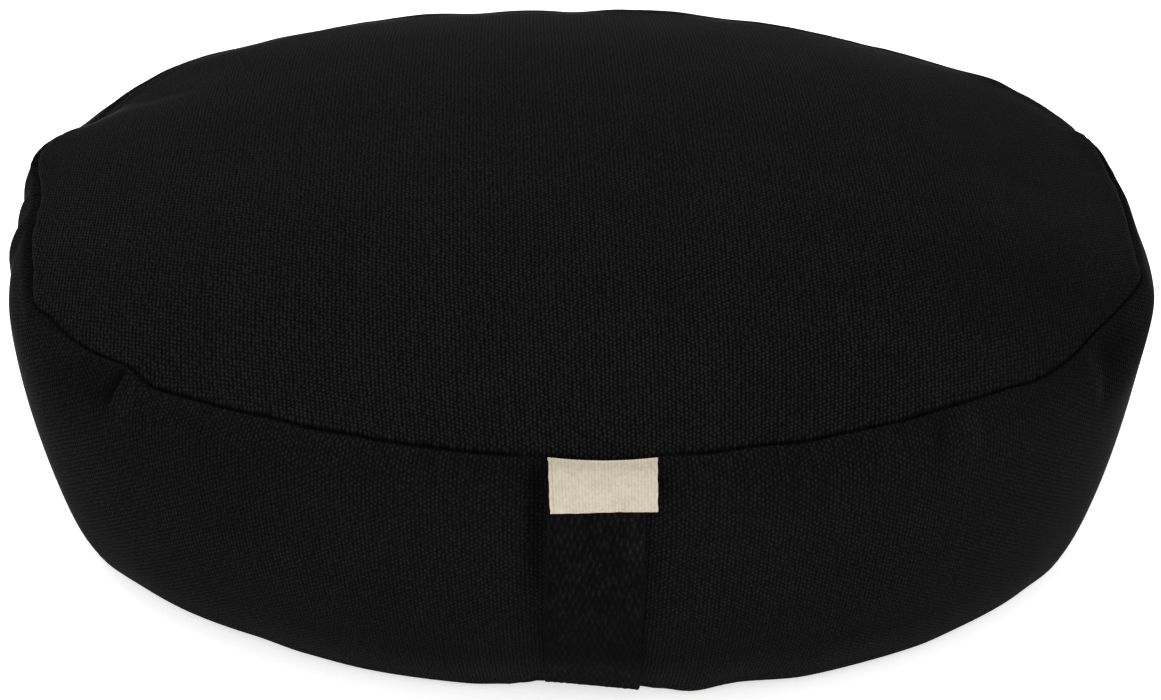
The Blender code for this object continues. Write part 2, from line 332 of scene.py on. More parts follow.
wall_heights = np.linspace(SEAM_HEIGHT, BOTTOM_SEAM_HEIGHT, PROFILE_SAMPLES)
wall_rings = even_rings(wall_radius(wall_heights), wall_heights, WALL_RINGS)
crown_radii = np.linspace(BLANK_RADIUS, GRID_RADIUS, PROFILE_SAMPLES)
crown_rings = even_rings(crown_radii, crown_height(crown_radii), CROWN_RINGS)
base_rings = [(float(wall_radius(np.array(UNDER_SEAM_HEIGHT))), UNDER_SEAM_HEIGHT)]
base_rings += [(radius, 0.0) for radius in np.linspace(BASE_RADIUS, GRID_RADIUS, BASE_RINGS)]

deselect()
bpy.ops.mesh.primitive_circle_add(
    vertices=AROUND, radius=BLANK_RADIUS, fill_type="NOTHING", location=(0.0, 0.0, SEAM_HEIGHT)
)
cover = bpy.context.object
cover.name = "cushion_cover"
bpy.ops.object.transform_apply(location=True)
bpy.ops.object.mode_set(mode="EDIT")
bpy.ops.mesh.select_mode(type="EDGE")
grow_rings(BLANK_RADIUS, SEAM_HEIGHT, wall_rings + base_rings)
bpy.ops.mesh.fill_grid(span=GRID_SPAN)

bpy.ops.mesh.select_all(action="DESELECT")
edit_mesh = bmesh.from_edit_mesh(cover.data)
for edge in edit_mesh.edges:
    at_seam = all(abs(vert.co.z - SEAM_HEIGHT) < NEAR for vert in edge.verts)
    edge.select_set(at_seam and edge.is_boundary)
bmesh.update_edit_mesh(cover.data)
grow_rings(BLANK_RADIUS, SEAM_HEIGHT, crown_rings)
bpy.ops.mesh.fill_grid(span=GRID_SPAN)
bpy.ops.mesh.select_all(action="SELECT")
bpy.ops.mesh.normals_make_consistent(inside=False)
bpy.ops.object.mode_set(mode="OBJECT")
print("blank has", len(cover.data.vertices), "points")

# %% [markdown]
# ## Pull the blank to the oval
#
# Each point keeps its direction from the middle and moves out or in to the oval, which
# is the same as blocking a hat. Only round the tuck at the front left do the columns
# of faces crowd together, because a sharp fold needs more of them. Before a point
# moves, its distance down the profile from the seam is stored on it as an attribute.
# Distances on the cloth can't be read from the finished shape, and the weave needs
# them later.

# %% Store the path from the seam, then pull
PATH = "path"
CROWD_ANGLE = 216.0
CROWD_DEGREES = 4.0
CROWD_TIMES = 3.0
CROWD_SAMPLES = 3601


def read_rows(data, name):
    """Three numbers of each item of a mesh, as an array with one row each."""
    flat = np.empty(len(data) * 3)
    data.foreach_get(name, flat)
    return flat.reshape(-1, 3)


def read_points(thing):
    """The places of the points of a mesh object."""
    return read_rows(thing.data.vertices, "co")


def write_points(thing, points):
    """Move the points of a mesh object."""
    thing.data.vertices.foreach_set("co", points.ravel())
    thing.data.update()


def store(thing, name, values):
    """Store a number at each point of a mesh object."""
    attribute = thing.data.attributes.new(name, "FLOAT", "POINT")
    attribute.data.foreach_set("value", values)


def path_from_seam(points):
    """Distance on the cloth from the top seam: above it negative, below it positive."""
    radius = np.hypot(points[:, 0], points[:, 1])
    height = points[:, 2]
    down = run_along(wall_radius(wall_heights), wall_heights)
    on_wall = np.interp(-height, -wall_heights, down)
    under = down[-1] + BOTTOM_SEAM_HEIGHT - height + np.maximum(0.0, BASE_RADIUS - radius)
    path = np.where(height < BOTTOM_SEAM_HEIGHT - NEAR, under, on_wall)
    return np.where(height > SEAM_HEIGHT + NEAR, radius - BLANK_RADIUS, path)


def crowded(angle):
    """Turn angles so that columns of faces stand closer together round the tuck."""
    turns = np.linspace(0.0, math.tau, CROWD_SAMPLES)
    near_tuck = turn_from(turns, CROWD_ANGLE) / math.radians(CROWD_DEGREES)
    crowd = 1.0 + CROWD_TIMES * np.exp(-(near_tuck[1:] ** 2))
    columns = np.concatenate([[0.0], np.cumsum(crowd)])
    return np.interp(angle % math.tau, columns * math.tau / columns[-1], turns)


def pulled(points):
    """Move points of the round blank to their places on the uneven oval."""
    radius = np.hypot(points[:, 0], points[:, 1])
    angle = np.arctan2(points[:, 1], points[:, 0])
    height = points[:, 2].copy()
    on_disc = np.minimum(1.0, radius / BASE_RADIUS)
    crowding = turn_from(crowded(angle), 0) - turn_from(angle, 0)
    angle += turn_from(crowding, 0) * on_disc**2
    reach = radius + (seam_radius(angle) - BLANK_RADIUS) * on_disc
    above_base = height > NEAR
    on_crown = height >= SEAM_HEIGHT - NEAR
    on_wall = above_base & ~on_crown
    below_seam = SEAM_HEIGHT - height
    from_seam = np.where(on_wall, below_seam, np.maximum(0.0, BLANK_RADIUS - radius))
    rise = station_value("rise", angle) + kink_value("rise", angle, from_seam)
    reach += np.where(above_base, kink_value("reach", angle, from_seam), 0.0)
    bulge = station_value("bulge", angle) * wall_fullness(height)
    reach += np.where(on_wall, bulge, 0.0)
    on_shoulder = np.maximum(0.0, 1.0 - below_seam / (SEAM_HEIGHT - WIDEST_HEIGHT))
    on_top = np.minimum(1.0, radius / BLANK_RADIUS) ** RISE_FADE_POWER
    height += np.where(on_crown, rise * on_top, np.where(on_wall, rise * on_shoulder, 0.0))
    return np.stack([reach * np.cos(angle), reach * np.sin(angle), height], axis=1)


blank_points = read_points(cover)
blank_radius = np.hypot(blank_points[:, 0], blank_points[:, 1])
in_grid = (blank_points[:, 2] > SEAM_HEIGHT) & (blank_radius < GRID_RADIUS + NEAR)
blank_points[in_grid, 2] = crown_height(blank_radius[in_grid])
path = path_from_seam(blank_points)
wall_length = float(path[np.abs(blank_points[:, 2] - BOTTOM_SEAM_HEIGHT) < NEAR].mean())
store(cover, PATH, path)
write_points(cover, pulled(blank_points))
print("the band is", round(wall_length / MM), "mm deep on the cloth")

# %% [markdown]
# ## Fill it
#
# The panels of a packed cushion are tight between their seams. A cloth simulation
# gives that look better than any formula: the mesh starts a little small, air pressure
# pushes it out, and the seams and the base, which the stitching and the floor hold,
# are pinned. How far a point may move is capped, so the cushion keeps its size.

# %% Puff the panels with the cloth simulation
START_SMALLER = 0.5 * MM
HELD_NEAR_SEAM = 0.6 * MM
PRESSURE = 5.0
SETTLE_FRAMES = 20
MOST_PUFF = 4.0 * MM


def point_normals(thing):
    """The outward normals at the points of a mesh object."""
    return read_rows(thing.data.vertex_normals, "vector")


def puff(thing, held):
    """Blow a closed mesh up with the cloth simulation, its held points pinned."""
    group = thing.vertex_groups.new(name="held")
    group.add([int(index) for index in np.flatnonzero(held)], 1.0, "REPLACE")
    start = read_points(thing)
    cloth = thing.modifiers.new("puff", "CLOTH")
    cloth.settings.quality = 6
    cloth.settings.mass = 0.3
    cloth.settings.tension_stiffness = 40.0
    cloth.settings.compression_stiffness = 40.0
    cloth.settings.shear_stiffness = 20.0
    cloth.settings.bending_stiffness = 2.0
    cloth.settings.use_pressure = True
    cloth.settings.uniform_pressure_force = PRESSURE
    cloth.settings.effector_weights.gravity = 0.0
    cloth.settings.vertex_group_mass = group.name
    cloth.collision_settings.use_collision = False
    cloth.point_cache.frame_end = SETTLE_FRAMES
    for frame_number in range(1, SETTLE_FRAMES + 1):
        bpy.context.scene.frame_set(frame_number)
    blown = thing.evaluated_get(bpy.context.evaluated_depsgraph_get())
    moved = read_points(blown) - start
    thing.modifiers.remove(cloth)
    thing.vertex_groups.remove(group)
    bpy.context.scene.frame_set(1)
    length = np.linalg.norm(moved, axis=1)
    capped = MOST_PUFF * np.tanh(length / MOST_PUFF)
    write_points(thing, start + moved * (capped / np.maximum(length, NEAR))[:, None])
    return length


held = (np.abs(path) < HELD_NEAR_SEAM) | (path > wall_length - HELD_NEAR_SEAM)
shrink = np.where(held, 0.0, START_SMALLER)[:, None]
write_points(cover, read_points(cover) - shrink * point_normals(cover))
puffed = puff(cover, held)
print("puffed out by up to", round(float(puffed.max()) / MM, 1), "mm before the cap")

# %% [markdown]
# ## Round it off
#
# One Subdivision Surface level makes the cloth smooth. It is applied, because the
# seams, puckers and creases that come next move the finer points.

# %% Subdivide once
def apply_and_smooth(thing, modifier):
    """Apply a modifier of an object, and shade the object smooth."""
    deselect()
    thing.select_set(True)
    bpy.context.view_layer.objects.active = thing
    bpy.ops.object.modifier_apply(modifier=modifier.name)
    bpy.ops.object.shade_smooth()


rounded = cover.modifiers.new("rounded", "SUBSURF")
rounded.levels = 1
rounded.render_levels = 1
apply_and_smooth(cover, rounded)
print("cover has", len(cover.data.polygons), "faces")

# %% [markdown]
# ## Settle the outline
#
# A simulation gives even fullness, and the real cover isn't even. Three tables say, all
# the way round, how the top seam wanders, where the band stands out, and where the
# foot lifts off the floor. Their rows stand closest where the real outline has its
# small bumps. Between the rows the values ease from one to the next, and each fades
# out on the cloth around it, as a push with the hand would.

# %% Name the pushes
Seam = namedtuple("Seam", "angle out up")
SEAM_MM = table(
    Seam,
    (0, -0.7, 0.0), (3, -0.6, 0.0), (5, -0.3, 0.0), (7.5, -0.6, 0.0), (10, -0.2, 0.0),
    (13.5, 0.8, 0.2), (15.5, 0.2, 0.0), (17.5, -1.6, -0.9), (20, -0.6, -1.7), (22, -0.2, -1.5),
    (26, 0.0, -0.4), (30, 0.0, 0.5), (37, 0.0, -1.4), (45, 0.0, -1.0), (52, 0.0, -0.9),
    (60, -0.1, -0.9), (67, -0.1, -1.7), (75, -0.1, -0.3), (82, -0.1, -0.2), (90, -0.1, -1.8),
    (97, -0.1, -0.9), (105, -0.1, -1.8), (112, -0.1, -0.7), (120, -0.1, -1.6),
    (127, -0.2, -2.4), (135, -0.2, -2.2), (142, -0.2, -1.0), (150, -0.2, 0.0),
    (157, -0.6, -2.9), (162, 1.6, -0.8), (164, 2.0, -0.3), (166, 2.1, -0.2), (168, 1.4, 0.0),
    (170, 0.3, 0.0), (174, -0.9, 0.0), (177, -0.6, 0.0), (181, 0.2, 0.0), (184, -0.6, 0.0),
    (186, -1.0, 0.0), (188, -1.5, -0.1), (190, -1.7, -0.1), (193, -2.0, -0.1),
    (195, -0.9, -0.3), (197, 0.3, -0.6), (200, 1.6, -0.5), (203, 0.2, 0.2), (206, 0.3, -0.4),
    (211, 0.0, -0.9), (213, 0.0, -0.3), (215.5, 0.0, 0.8), (218.5, 0.0, -1.9),
    (221, 0.0, -1.1), (226, 0.0, -0.7), (230, 0.0, -0.1), (232, 0.0, 0.5), (235, 0.0, 0.4),
    (237, 0.0, -0.1), (240, 0.0, 0.0), (243, 0.0, 0.3), (246, 0.0, -0.2), (254, 0.0, -0.4),
    (260, 0.0, -0.5), (265, 0.0, -0.3), (269, 0.0, -1.2), (273, 0.0, -2.1), (277, 0.0, -1.2),
    (281, 0.0, -0.4), (285, 0.0, -0.8), (290, 0.0, -0.1), (296, 0.0, -0.9), (300, 0.0, -0.5),
    (304, 0.0, -0.4), (307, 0.0, -0.8), (311, 0.0, -0.4), (315, 0.0, -0.4), (319, 0.0, -1.0),
    (323, 0.3, -2.6), (325, 0.3, -3.0), (327, 0.4, -2.5), (334, 0.0, 0.0), (341, -0.2, -0.2),
    (346, -0.8, 0.0), (347, -1.7, 0.0), (349, -2.6, 0.0), (352, -1.7, 0.0), (356, -1.4, 0.0),
    (359, -0.9, 0.0),
)
Push = namedtuple("Push", "angle amount")
BAND_MM = table(
    Push,
    (0, 0.3), (7, 1.2), (13, 0.8), (17, -0.4), (22, 0.6), (28, 1.2), (34, 1.0), (40, 0.3),
    (128, 0.0), (140, 1.0), (147, 1.2), (152, 0.0), (157, -1.5), (165, -2.0), (170, -0.4),
    (175, 0.5), (181, 0.3), (187, -0.2), (195, 0.3), (202, 0.6),
    (210, 0.0), (330, 0.0), (337, 1.7), (345, 1.6), (352, 1.2),
)
FOOT_MM = table(
    Push,
    (0, 0.0), (195, 0.0), (202, -0.7), (210, 0.9), (217, 0.7), (225, 0.8), (232, 0.0),
    (240, -0.2), (247, -0.1), (255, -0.1), (260, 0.6), (262.5, 1.3), (264.2, 2.1),
    (270, 2.6), (275, 2.4), (278.5, 0.9), (281, 0.1), (285, -0.9), (292, 0.9), (300, -0.3),
    (307, -0.2), (315, -0.3), (322, 0.3), (330, 0.2), (337, -0.8), (345, -0.3), (352, 0.0),
)
SEAM_SPREAD = 8 * MM
BAND_START = 5 * MM
BAND_MIDDLE = 14 * MM
BAND_SPREAD = 16 * MM
FOOT_SPREAD = 24 * MM
FOOT_LEAN = math.radians(57)


def table_value(rows, column, angle):
    """Read a column of a table at an angle, eased between its rows, in metres."""
    angles = np.array([row.angle for row in rows] + [rows[0].angle + 360.0])
    values = np.array([getattr(row, column) for row in rows + rows[:1]]) * MM
    degrees = np.degrees(angle) % 360.0
    place = np.searchsorted(angles, degrees, side="right") - 1
    share = (degrees - angles[place]) / (angles[place + 1] - angles[place])
    return values[place] + share**2 * (3.0 - 2.0 * share) * (values[place + 1] - values[place])


def read_path(thing):
    """The stored distance from the seam at each point."""
    values = np.empty(len(thing.data.vertices))
    thing.data.attributes[PATH].data.foreach_get("value", values)
    return values


def outwards(points):
    """Level unit vectors away from the middle of the plan."""
    flat = points * (1.0, 1.0, 0.0)
    return flat / np.maximum(np.linalg.norm(flat, axis=1), NEAR)[:, None]


print("the seam is pushed at", len(SEAM_MM), "places")

# %% [markdown]
# The pushes are added up and made at once. The band leans in towards the floor, so its
# foot lifts along the lean, up and inwards, and not straight up.

# %% Push the cover into its uneven outline
points = read_points(cover)
path = read_path(cover)
angle = np.arctan2(points[:, 1], points[:, 0])
away = outwards(points)
upwards = np.array([0.0, 0.0, 1.0])
near_seam = np.exp(-((path / SEAM_SPREAD) ** 2))
on_band = np.exp(-(((path - BAND_MIDDLE) / BAND_SPREAD) ** 2))
on_band *= smooth_step(0.0, BAND_START, path)
near_foot = np.exp(-(((path - wall_length) / FOOT_SPREAD) ** 2))
foot = table_value(FOOT_MM, "amount", angle)
lifted = np.maximum(foot, 0.0)
spread_out = np.minimum(foot, 0.0) / math.cos(FOOT_LEAN)
out = near_seam * table_value(SEAM_MM, "out", angle)
out += on_band * table_value(BAND_MM, "amount", angle)
out -= near_foot * (lifted * math.cos(FOOT_LEAN) + spread_out)
up = near_seam * table_value(SEAM_MM, "up", angle) + near_foot * lifted * math.sin(FOOT_LEAN)
write_points(cover, points + out[:, None] * away + up[:, None] * upwards)
print("outline pushed by up to", round(float(np.hypot(out, up).max()) / MM, 1), "mm")

# %% [markdown]
# ## Seams, puckers and creases
#
# These are placed one by one, each from a row of a table. Stitching draws both seams in,
# so a narrow groove follows them. It is wider and deeper at the two ends of the oval,
# where the band turns sharply, and shallow under the tab, which fills it. Where the
# band was eased onto the panel it bunches into puckers that start at the seam and fade
# on their way down. A pucker falls in gently on one side and may come back steeply on
# the other, as a folded tuck does. One with a negative depth is a ridge.
#
# Each row also says how much shade is painted into its cloth: painted shade darkens
# the inside of tucks, and a negative value is a painted highlight on ridges. A table of soft
# patches paints shade and highlights the same way on hollows that are too wide to be
# called puckers, and painted light makes the foot of the front and the back pale.

# %% Name the seams' and the puckers' sizes
SEAM_SINK = 2.0 * MM
SEAM_SINK_WIDTH = 0.7 * MM
SEAM_SINK_SLOPE = math.radians(50)
SIDE_SINK = 3.4 * MM
SIDE_SINK_WIDTH = 1.5 * MM
SIDE_FROM = (0.93, 0.99)
BASE_SINK = 0.5 * MM
SEAM_ROLL = 0.5 * MM
SEAM_ROLL_MIDDLE = 3.0 * MM
SEAM_ROLL_WIDTH = 1.6 * MM
EASY_SEAM_CENTRE_X = 6 * MM
EASY_SEAM_HALF_WIDTH = 26 * MM
EASY_SEAM_FADE = 12 * MM
EASY_SEAM_SHARE = 0.25
FAR = 1.0
PUCKER_DEEPENS = 0.2
PUCKER_FADES = 0.5

# The shade column is painted shade in a pucker's cloth, and a painted highlight where it is
# negative.
Pucker = namedtuple("Pucker", "angle drift before after length depth shade")
PUCKERS_MM = table(
    Pucker,
    (215.8, -1.5, 28, 1.8, 20, 1.0, 0.4),
    (215.8, -1.5, 5, 1.0, 19, 0.8, 0.55),
    (217.4, -1.5, 1.6, 6, 22, -0.8, -0.4),
    (200, 0, 22, 20, 16, 0.4, 0.2),
    (228, 0, 60, 50, 75, 0.0, 0.2),
    (181, 4, 11, 11, 26, -1.8, -0.1),
    (172, 3, 11, 11, 34, 1.8, 0.0),
    (310.8, -1, 5, 3.5, 19, 1.0, 0.4),
    (313.6, 0, 3, 6, 22, -1.0, -0.5),
    (330.3, 1, 2.6, 1.5, 28, -0.6, -0.9),
    (331.7, 1, 1.5, 32, 34, 1.0, 0.35),
    (15, -3, 12, 12, 40, 1.6, 0.0),
    (64, 2, 12, 12, 44, 1.8, 0.0),
    (108, -2, 12, 12, 38, 1.5, 0.0),
    (141, 3, 12, 12, 44, 1.8, 0.0),
)

# Each patch paints shade on the cloth, or a painted highlight where its shade is negative.
Patch = namedtuple("Patch", "angle middle around along shade")
PATCHES_MM = table(
    Patch,
    (165, 1.5, 30, 4.0, 0.7),
    (192, 1.5, 60, 3.5, 0.6),
    (208, 22, 36, 26, 0.36),
    (8, 2.5, 60, 4.5, 0.6),
    (7, 5, 12, 5, 0.3),
    (3, -1.4, 45, 1.4, -0.7),
    (336, 18, 40, 32, 0.25),
    (342, 12, 50, 22, 0.3),
    (178, 8, 60, 14, 0.35),
    (336, -28, 80, 70, 0.33),
)
# Painted light on the foot of the front and the back, where light from the floor falls.
FOOT_PAINTED_LIGHT = 0.9
FOOT_PAINTED_LIGHT_FROM = (22 * MM, 4 * MM)
print("there are", len(PUCKERS_MM), "puckers and", len(PATCHES_MM), "patches")

# %% [markdown]
# Each row is drawn as a hump, which swells and falls off again as cloth does. The humps
# are summed first, and then each point moves once: into the seams, and level inwards
# into the puckers.

# %% Sink the seams and place the puckers
def patched(angle, down):
    """Sum of the patches at an angle and a distance down the band, below 0 on the panel."""
    total = np.zeros_like(angle)
    for patch in PATCHES_MM:
        aside = turn_from(angle, patch.angle) * seam_radius(angle) / MM
        beyond = down / MM - patch.middle
        total += patch.shade * hump(aside / patch.around) * hump(beyond / patch.along)
    return total


def puckered(column, angle, down):
    """Sum of a pucker column at an angle and a distance down the band."""
    total = np.zeros_like(angle)
    for pucker in PUCKERS_MM:
        share = down / (pucker.length * MM)
        on_pucker = (share >= 0.0) & (share < 1.0)
        turn = turn_from(angle, pucker.angle) - math.radians(pucker.drift) * share
        aside = turn * seam_radius(angle)
        width = np.where(aside < 0.0, pucker.before, pucker.after) * MM
        along = smooth_step(0.0, PUCKER_DEEPENS, share)
        along *= 1.0 - smooth_step(PUCKER_FADES, 1.0, share)
        total += np.where(on_pucker, getattr(pucker, column) * hump(aside / width) * along, 0.0)
    return total


points = read_points(cover)
seam_in = -math.cos(SEAM_SINK_SLOPE) * away - math.sin(SEAM_SINK_SLOPE) * upwards
from_tab = np.where(points[:, 1] < 0.0, np.abs(points[:, 0] - EASY_SEAM_CENTRE_X), FAR)
beyond_tab = from_tab - EASY_SEAM_HALF_WIDTH
taut = smooth_step(-EASY_SEAM_FADE, EASY_SEAM_FADE, beyond_tab)
at_side = smooth_step(*SIDE_FROM, np.abs(np.cos(angle))) * (path > 0.0)
sink_width = SEAM_SINK_WIDTH + (SIDE_SINK_WIDTH - SEAM_SINK_WIDTH) * at_side
sink = SEAM_SINK * (EASY_SEAM_SHARE + (1.0 - EASY_SEAM_SHARE) * taut)
sink += (SIDE_SINK - SEAM_SINK) * at_side
top_sink = sink * np.exp(-((path / sink_width) ** 2))
roll = SEAM_ROLL * np.exp(-(((np.abs(path) - SEAM_ROLL_MIDDLE) / SEAM_ROLL_WIDTH) ** 2))
base_sink = BASE_SINK * np.exp(-(((path - wall_length) / SEAM_SINK_WIDTH) ** 2))
points += (top_sink - roll)[:, None] * seam_in - base_sink[:, None] * away
points -= puckered("depth", angle, path)[:, None] * MM * away
# Painted shade in tucks, hollows and beside the seams, and painted highlights on ridges.
shade = puckered("shade", angle, path) + patched(angle, path)
# Painted light on the foot, where light from the floor falls on it.
foot_light_from = [wall_length - height for height in FOOT_PAINTED_LIGHT_FROM]
shade -= FOOT_PAINTED_LIGHT * np.sin(angle) ** 2 * smooth_step(*foot_light_from, path)
write_points(cover, points)
print("seams sunk and", len(PUCKERS_MM), "puckers placed")

# %% [markdown]
# ## Let the cloth be a little uneven
#
# Grain hulls don't fill a cover as evenly as air does. A slow noise, a third of a
# millimetre high, breaks the perfect roundness, and close to the top seam the eased
# band gathers into shallow ripples. Both read their noise from the point's own place,
# so every run gives the same cloth.

# %% Add the slow unevenness and the small gathers
UNEVEN = 0.35 * MM
UNEVEN_SCALE = 28.0
GATHER_DEPTH = 0.3 * MM
GATHER_SCALE = 95.0
GATHER_FADE = 7 * MM
GATHER_SQUASH = (1.0, 1.0, 0.15)
FLOOR_HOLDS = 6 * MM
SEAM_HOLDS = 12 * MM


def noise_at(points, scale):
    """Smooth noise from -1 to 1 at each point."""
    return np.array([noise.noise(Vector(point) * scale) for point in points])


points = read_points(cover)
standing = smooth_step(0.0, FLOOR_HOLDS, points[:, 2])
loose = smooth_step(0.0, SEAM_HOLDS, np.abs(path))
lumps = UNEVEN * noise_at(points, UNEVEN_SCALE) * loose * standing
ripples = GATHER_DEPTH * noise_at(points * GATHER_SQUASH, GATHER_SCALE)
ripples *= np.exp(-((path / GATHER_FADE) ** 2))
ripples *= 1.0 - np.exp(-((path / SEAM_SINK_WIDTH) ** 2))
move = lumps + ripples
write_points(cover, points + move[:, None] * point_normals(cover))
print("cloth moved by up to", round(float(np.abs(move).max()) / MM, 2), "mm")

# %% [markdown]
# ## The strap
#
# The carry handle is flat webbing, caught in both seams. It is too fine and too flat
# for a simulation, so it is laid directly: a fine grid of the strap's cut size follows
# the outer face of the frame's strap, found by rays from all round the band. Solidify
# gives it thickness, and then the weave is raised on its face as real relief.

# %% Find the strap's line down the band
STRAP_CENTRE_X = 4.2 * MM
SWEEP_CENTRE = Vector((STRAP_CENTRE_X, -90 * MM, 55 * MM))
SWEEP_REACH = 150 * MM
SWEEP_DEGREES = np.arange(110.0, 260.0, 0.1)
FACING = 0.5


def tree_of(thing):
    """A search tree over an object's faces."""
    return BVHTree.FromObject(thing, bpy.context.evaluated_depsgraph_get())


def outer_line(node):
    """The outer face of a frame sheet as a line of places (y, z), from its top down."""
    tree = tree_of(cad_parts[node])
    line = []
    for turn in np.radians(SWEEP_DEGREES):
        spoke = Vector((0.0, math.cos(turn), math.sin(turn)))
        place, normal = tree.ray_cast(SWEEP_CENTRE + spoke * SWEEP_REACH, -spoke)[:2]
        if place is not None and normal.dot(spoke) > FACING:
            line.append((place.y, place.z))
    return np.array(line)


def down_line(line, down):
    """Places and outward directions (y, z) at distances down a line from its top."""
    lengths = run_along(*line.T)
    along = np.gradient(line, lengths, axis=0)
    along /= np.linalg.norm(along, axis=1)[:, None]
    place = np.stack([np.interp(down, lengths, line[:, side]) for side in (0, 1)], axis=1)
    slope = np.stack([np.interp(down, lengths, along[:, side]) for side in (0, 1)], axis=1)
    beyond = down - np.clip(down, 0.0, lengths[-1])
    return place + beyond[:, None] * slope, np.stack([slope[:, 1], -slope[:, 0]], axis=1)


strap_line = outer_line("handle_strap")
strap_length = float(run_along(*strap_line.T)[-1])
print("strap runs", round(strap_length / MM, 1), "mm from seam to seam")

# %% [markdown]
# Its cut size is laid out flat first, as a grid on which each point knows how far
# across and down the strap it is. Those two distances are also its UV map, so that the
# yarn of the finish runs true. The same helpers lay the small tab later.

# %% Make helpers for flat sheets
CUT_MAP = "cut"


def loop_points(mesh):
    """The point and the face of each face corner of a mesh."""
    corner_point = np.empty(len(mesh.loops), dtype=int)
    mesh.loops.foreach_get("vertex_index", corner_point)
    corners = np.empty(len(mesh.polygons), dtype=int)
    mesh.polygons.foreach_get("loop_total", corners)
    return corner_point, np.repeat(np.arange(len(corners)), corners), corners


def write_map(thing, name, u, v):
    """Store a UV map from a value u and v at each face corner."""
    for old in list(thing.data.uv_layers):
        thing.data.uv_layers.remove(old)
    layer = thing.data.uv_layers.new(name=name)
    layer.uv.foreach_set("vector", np.stack([u, v], axis=1).astype(np.float32).ravel())


def lay_sheet(name, width, start, length, grid):
    """Add a grid of that width and length, from start down. Return it with each
    point's distance across from its middle line and down from the line's top."""
    deselect()
    bpy.ops.mesh.primitive_grid_add(x_subdivisions=grid[0], y_subdivisions=grid[1], size=1.0)
    sheet = bpy.context.object
    sheet.name = name
    flat = read_points(sheet)
    across = flat[:, 0] * width
    down = start + (0.5 - flat[:, 1]) * length
    corner_point = loop_points(sheet.data)[0]
    write_map(sheet, CUT_MAP, across[corner_point], down[corner_point])
    return sheet, across, down


def thicken(sheet, thickness, raised):
    """Give a sheet its thickness on the inside, and raise its outer face by a relief."""
    outside = len(sheet.data.vertices)
    face_directions = point_normals(sheet)
    solid = sheet.modifiers.new("thickness", "SOLIDIFY")
    solid.thickness = thickness
    solid.offset = -1.0
    apply_and_smooth(sheet, solid)
    points = read_points(sheet)
    points[:outside] += face_directions * raised[:, None]
    write_points(sheet, points)


def sheet_noise(across, down, scale, layer=0.0):
    """Smooth noise on a sheet, from -1 to 1. Each layer is another pattern."""
    return noise_at(np.stack(np.broadcast_arrays(across, down, layer), axis=1), scale)


print("helpers for sheets ready")

# %% [markdown]
# The webbing's yarns stand in upright columns, a millimetre apart. Each yarn comes to
# the face for a short grain and then dives, and its neighbours do the same half a
# repeat later, which makes a brick pattern. Chance gives every grain its own size and
# moves it a little, because woven yarn is never as even as a drawing. At both edges
# the yarns turn back and make a smooth rounded rim.

# %% Shape the webbing's weave
STRAP_WIDTH = 31.5 * MM
WEB_COLUMN = 1.05 * MM
WEB_REPEAT = 6.6 * MM
WEB_LEAN = 0.035
WEB_SWING = 0.12
WEB_SWING_TURN = 1.7
WEB_SWING_ACROSS = 900.0
WEB_SLIP = 0.06
WEB_SLIP_DOWN = 410.0
WEB_SLIP_COLUMN = 2.1
WEB_FLOAT = 0.4
WEB_GRAIN_SHARPNESS = 12.0
WEB_GAP_HEIGHT = 0.1
GRAIN_SIZE = 0.7
GRAIN_SIZE_CHANCE = 0.3
GRAIN_ASIDE_CHANCE = 0.18
GRAIN_ALONG_CHANCE = 0.1
YARN_ROUND = 0.55
RIM_ROUND = 0.8 * MM


def chance(column, number):
    """A number from -1 to 1 that looks random, the same each time for the same pair."""
    scattered = np.sin(column * 12.9898 + number * 78.233) * 43758.5453
    return 2.0 * (scattered - np.floor(scattered)) - 1.0


def web_height(across, down):
    """Height of the webbing's weave, 0 in its gaps to 1 on its grains."""
    turn = WEB_SWING_TURN * np.sin(across * WEB_SWING_ACROSS)
    swing = WEB_SWING * np.sin(down * (math.tau / WEB_REPEAT) + turn)
    place_across = across / WEB_COLUMN + swing
    column = np.floor(place_across)
    aside = place_across - column - 0.5
    phase = down / WEB_REPEAT + 0.5 * np.remainder(column, 2.0)
    phase += WEB_LEAN * np.abs(column)
    slip = chance(column, 0.5) + np.sin(down * WEB_SLIP_DOWN + column * WEB_SLIP_COLUMN)
    phase += WEB_SLIP * slip
    grain_number = np.floor(phase)
    along = phase - grain_number - 0.5
    size = GRAIN_SIZE + GRAIN_SIZE_CHANCE * chance(column, grain_number)
    aside += GRAIN_ASIDE_CHANCE * chance(column + 0.3, grain_number)
    along += GRAIN_ALONG_CHANCE * chance(column + 0.6, grain_number)
    yarn_side = 1.0 - YARN_ROUND + YARN_ROUND * np.cos(math.pi * aside)
    float_over = np.maximum(np.cos(math.pi * along), 0.0)
    grain = WEB_FLOAT * float_over + (1.0 - WEB_FLOAT) * float_over**WEB_GRAIN_SHARPNESS
    return size * yarn_side * (WEB_GAP_HEIGHT + (1.0 - WEB_GAP_HEIGHT) * grain)


def rounded_rim(edge_distance):
    """How far a rounded rim falls below the face at a distance from the edge."""
    inward = np.clip(RIM_ROUND - edge_distance, 0.0, RIM_ROUND)
    return RIM_ROUND - np.sqrt(np.maximum(RIM_ROUND**2 - inward**2, 0.0))


print("a repeat of the webbing is", round(WEB_REPEAT / MM, 1), "mm long")

# %% [markdown]
# Laid on its line, the strap isn't quite straight or flat. It narrows a little towards
# the top, its left edge stands proud of the band in the middle of its height, and at
# the foot that edge is drawn in more than the right one.

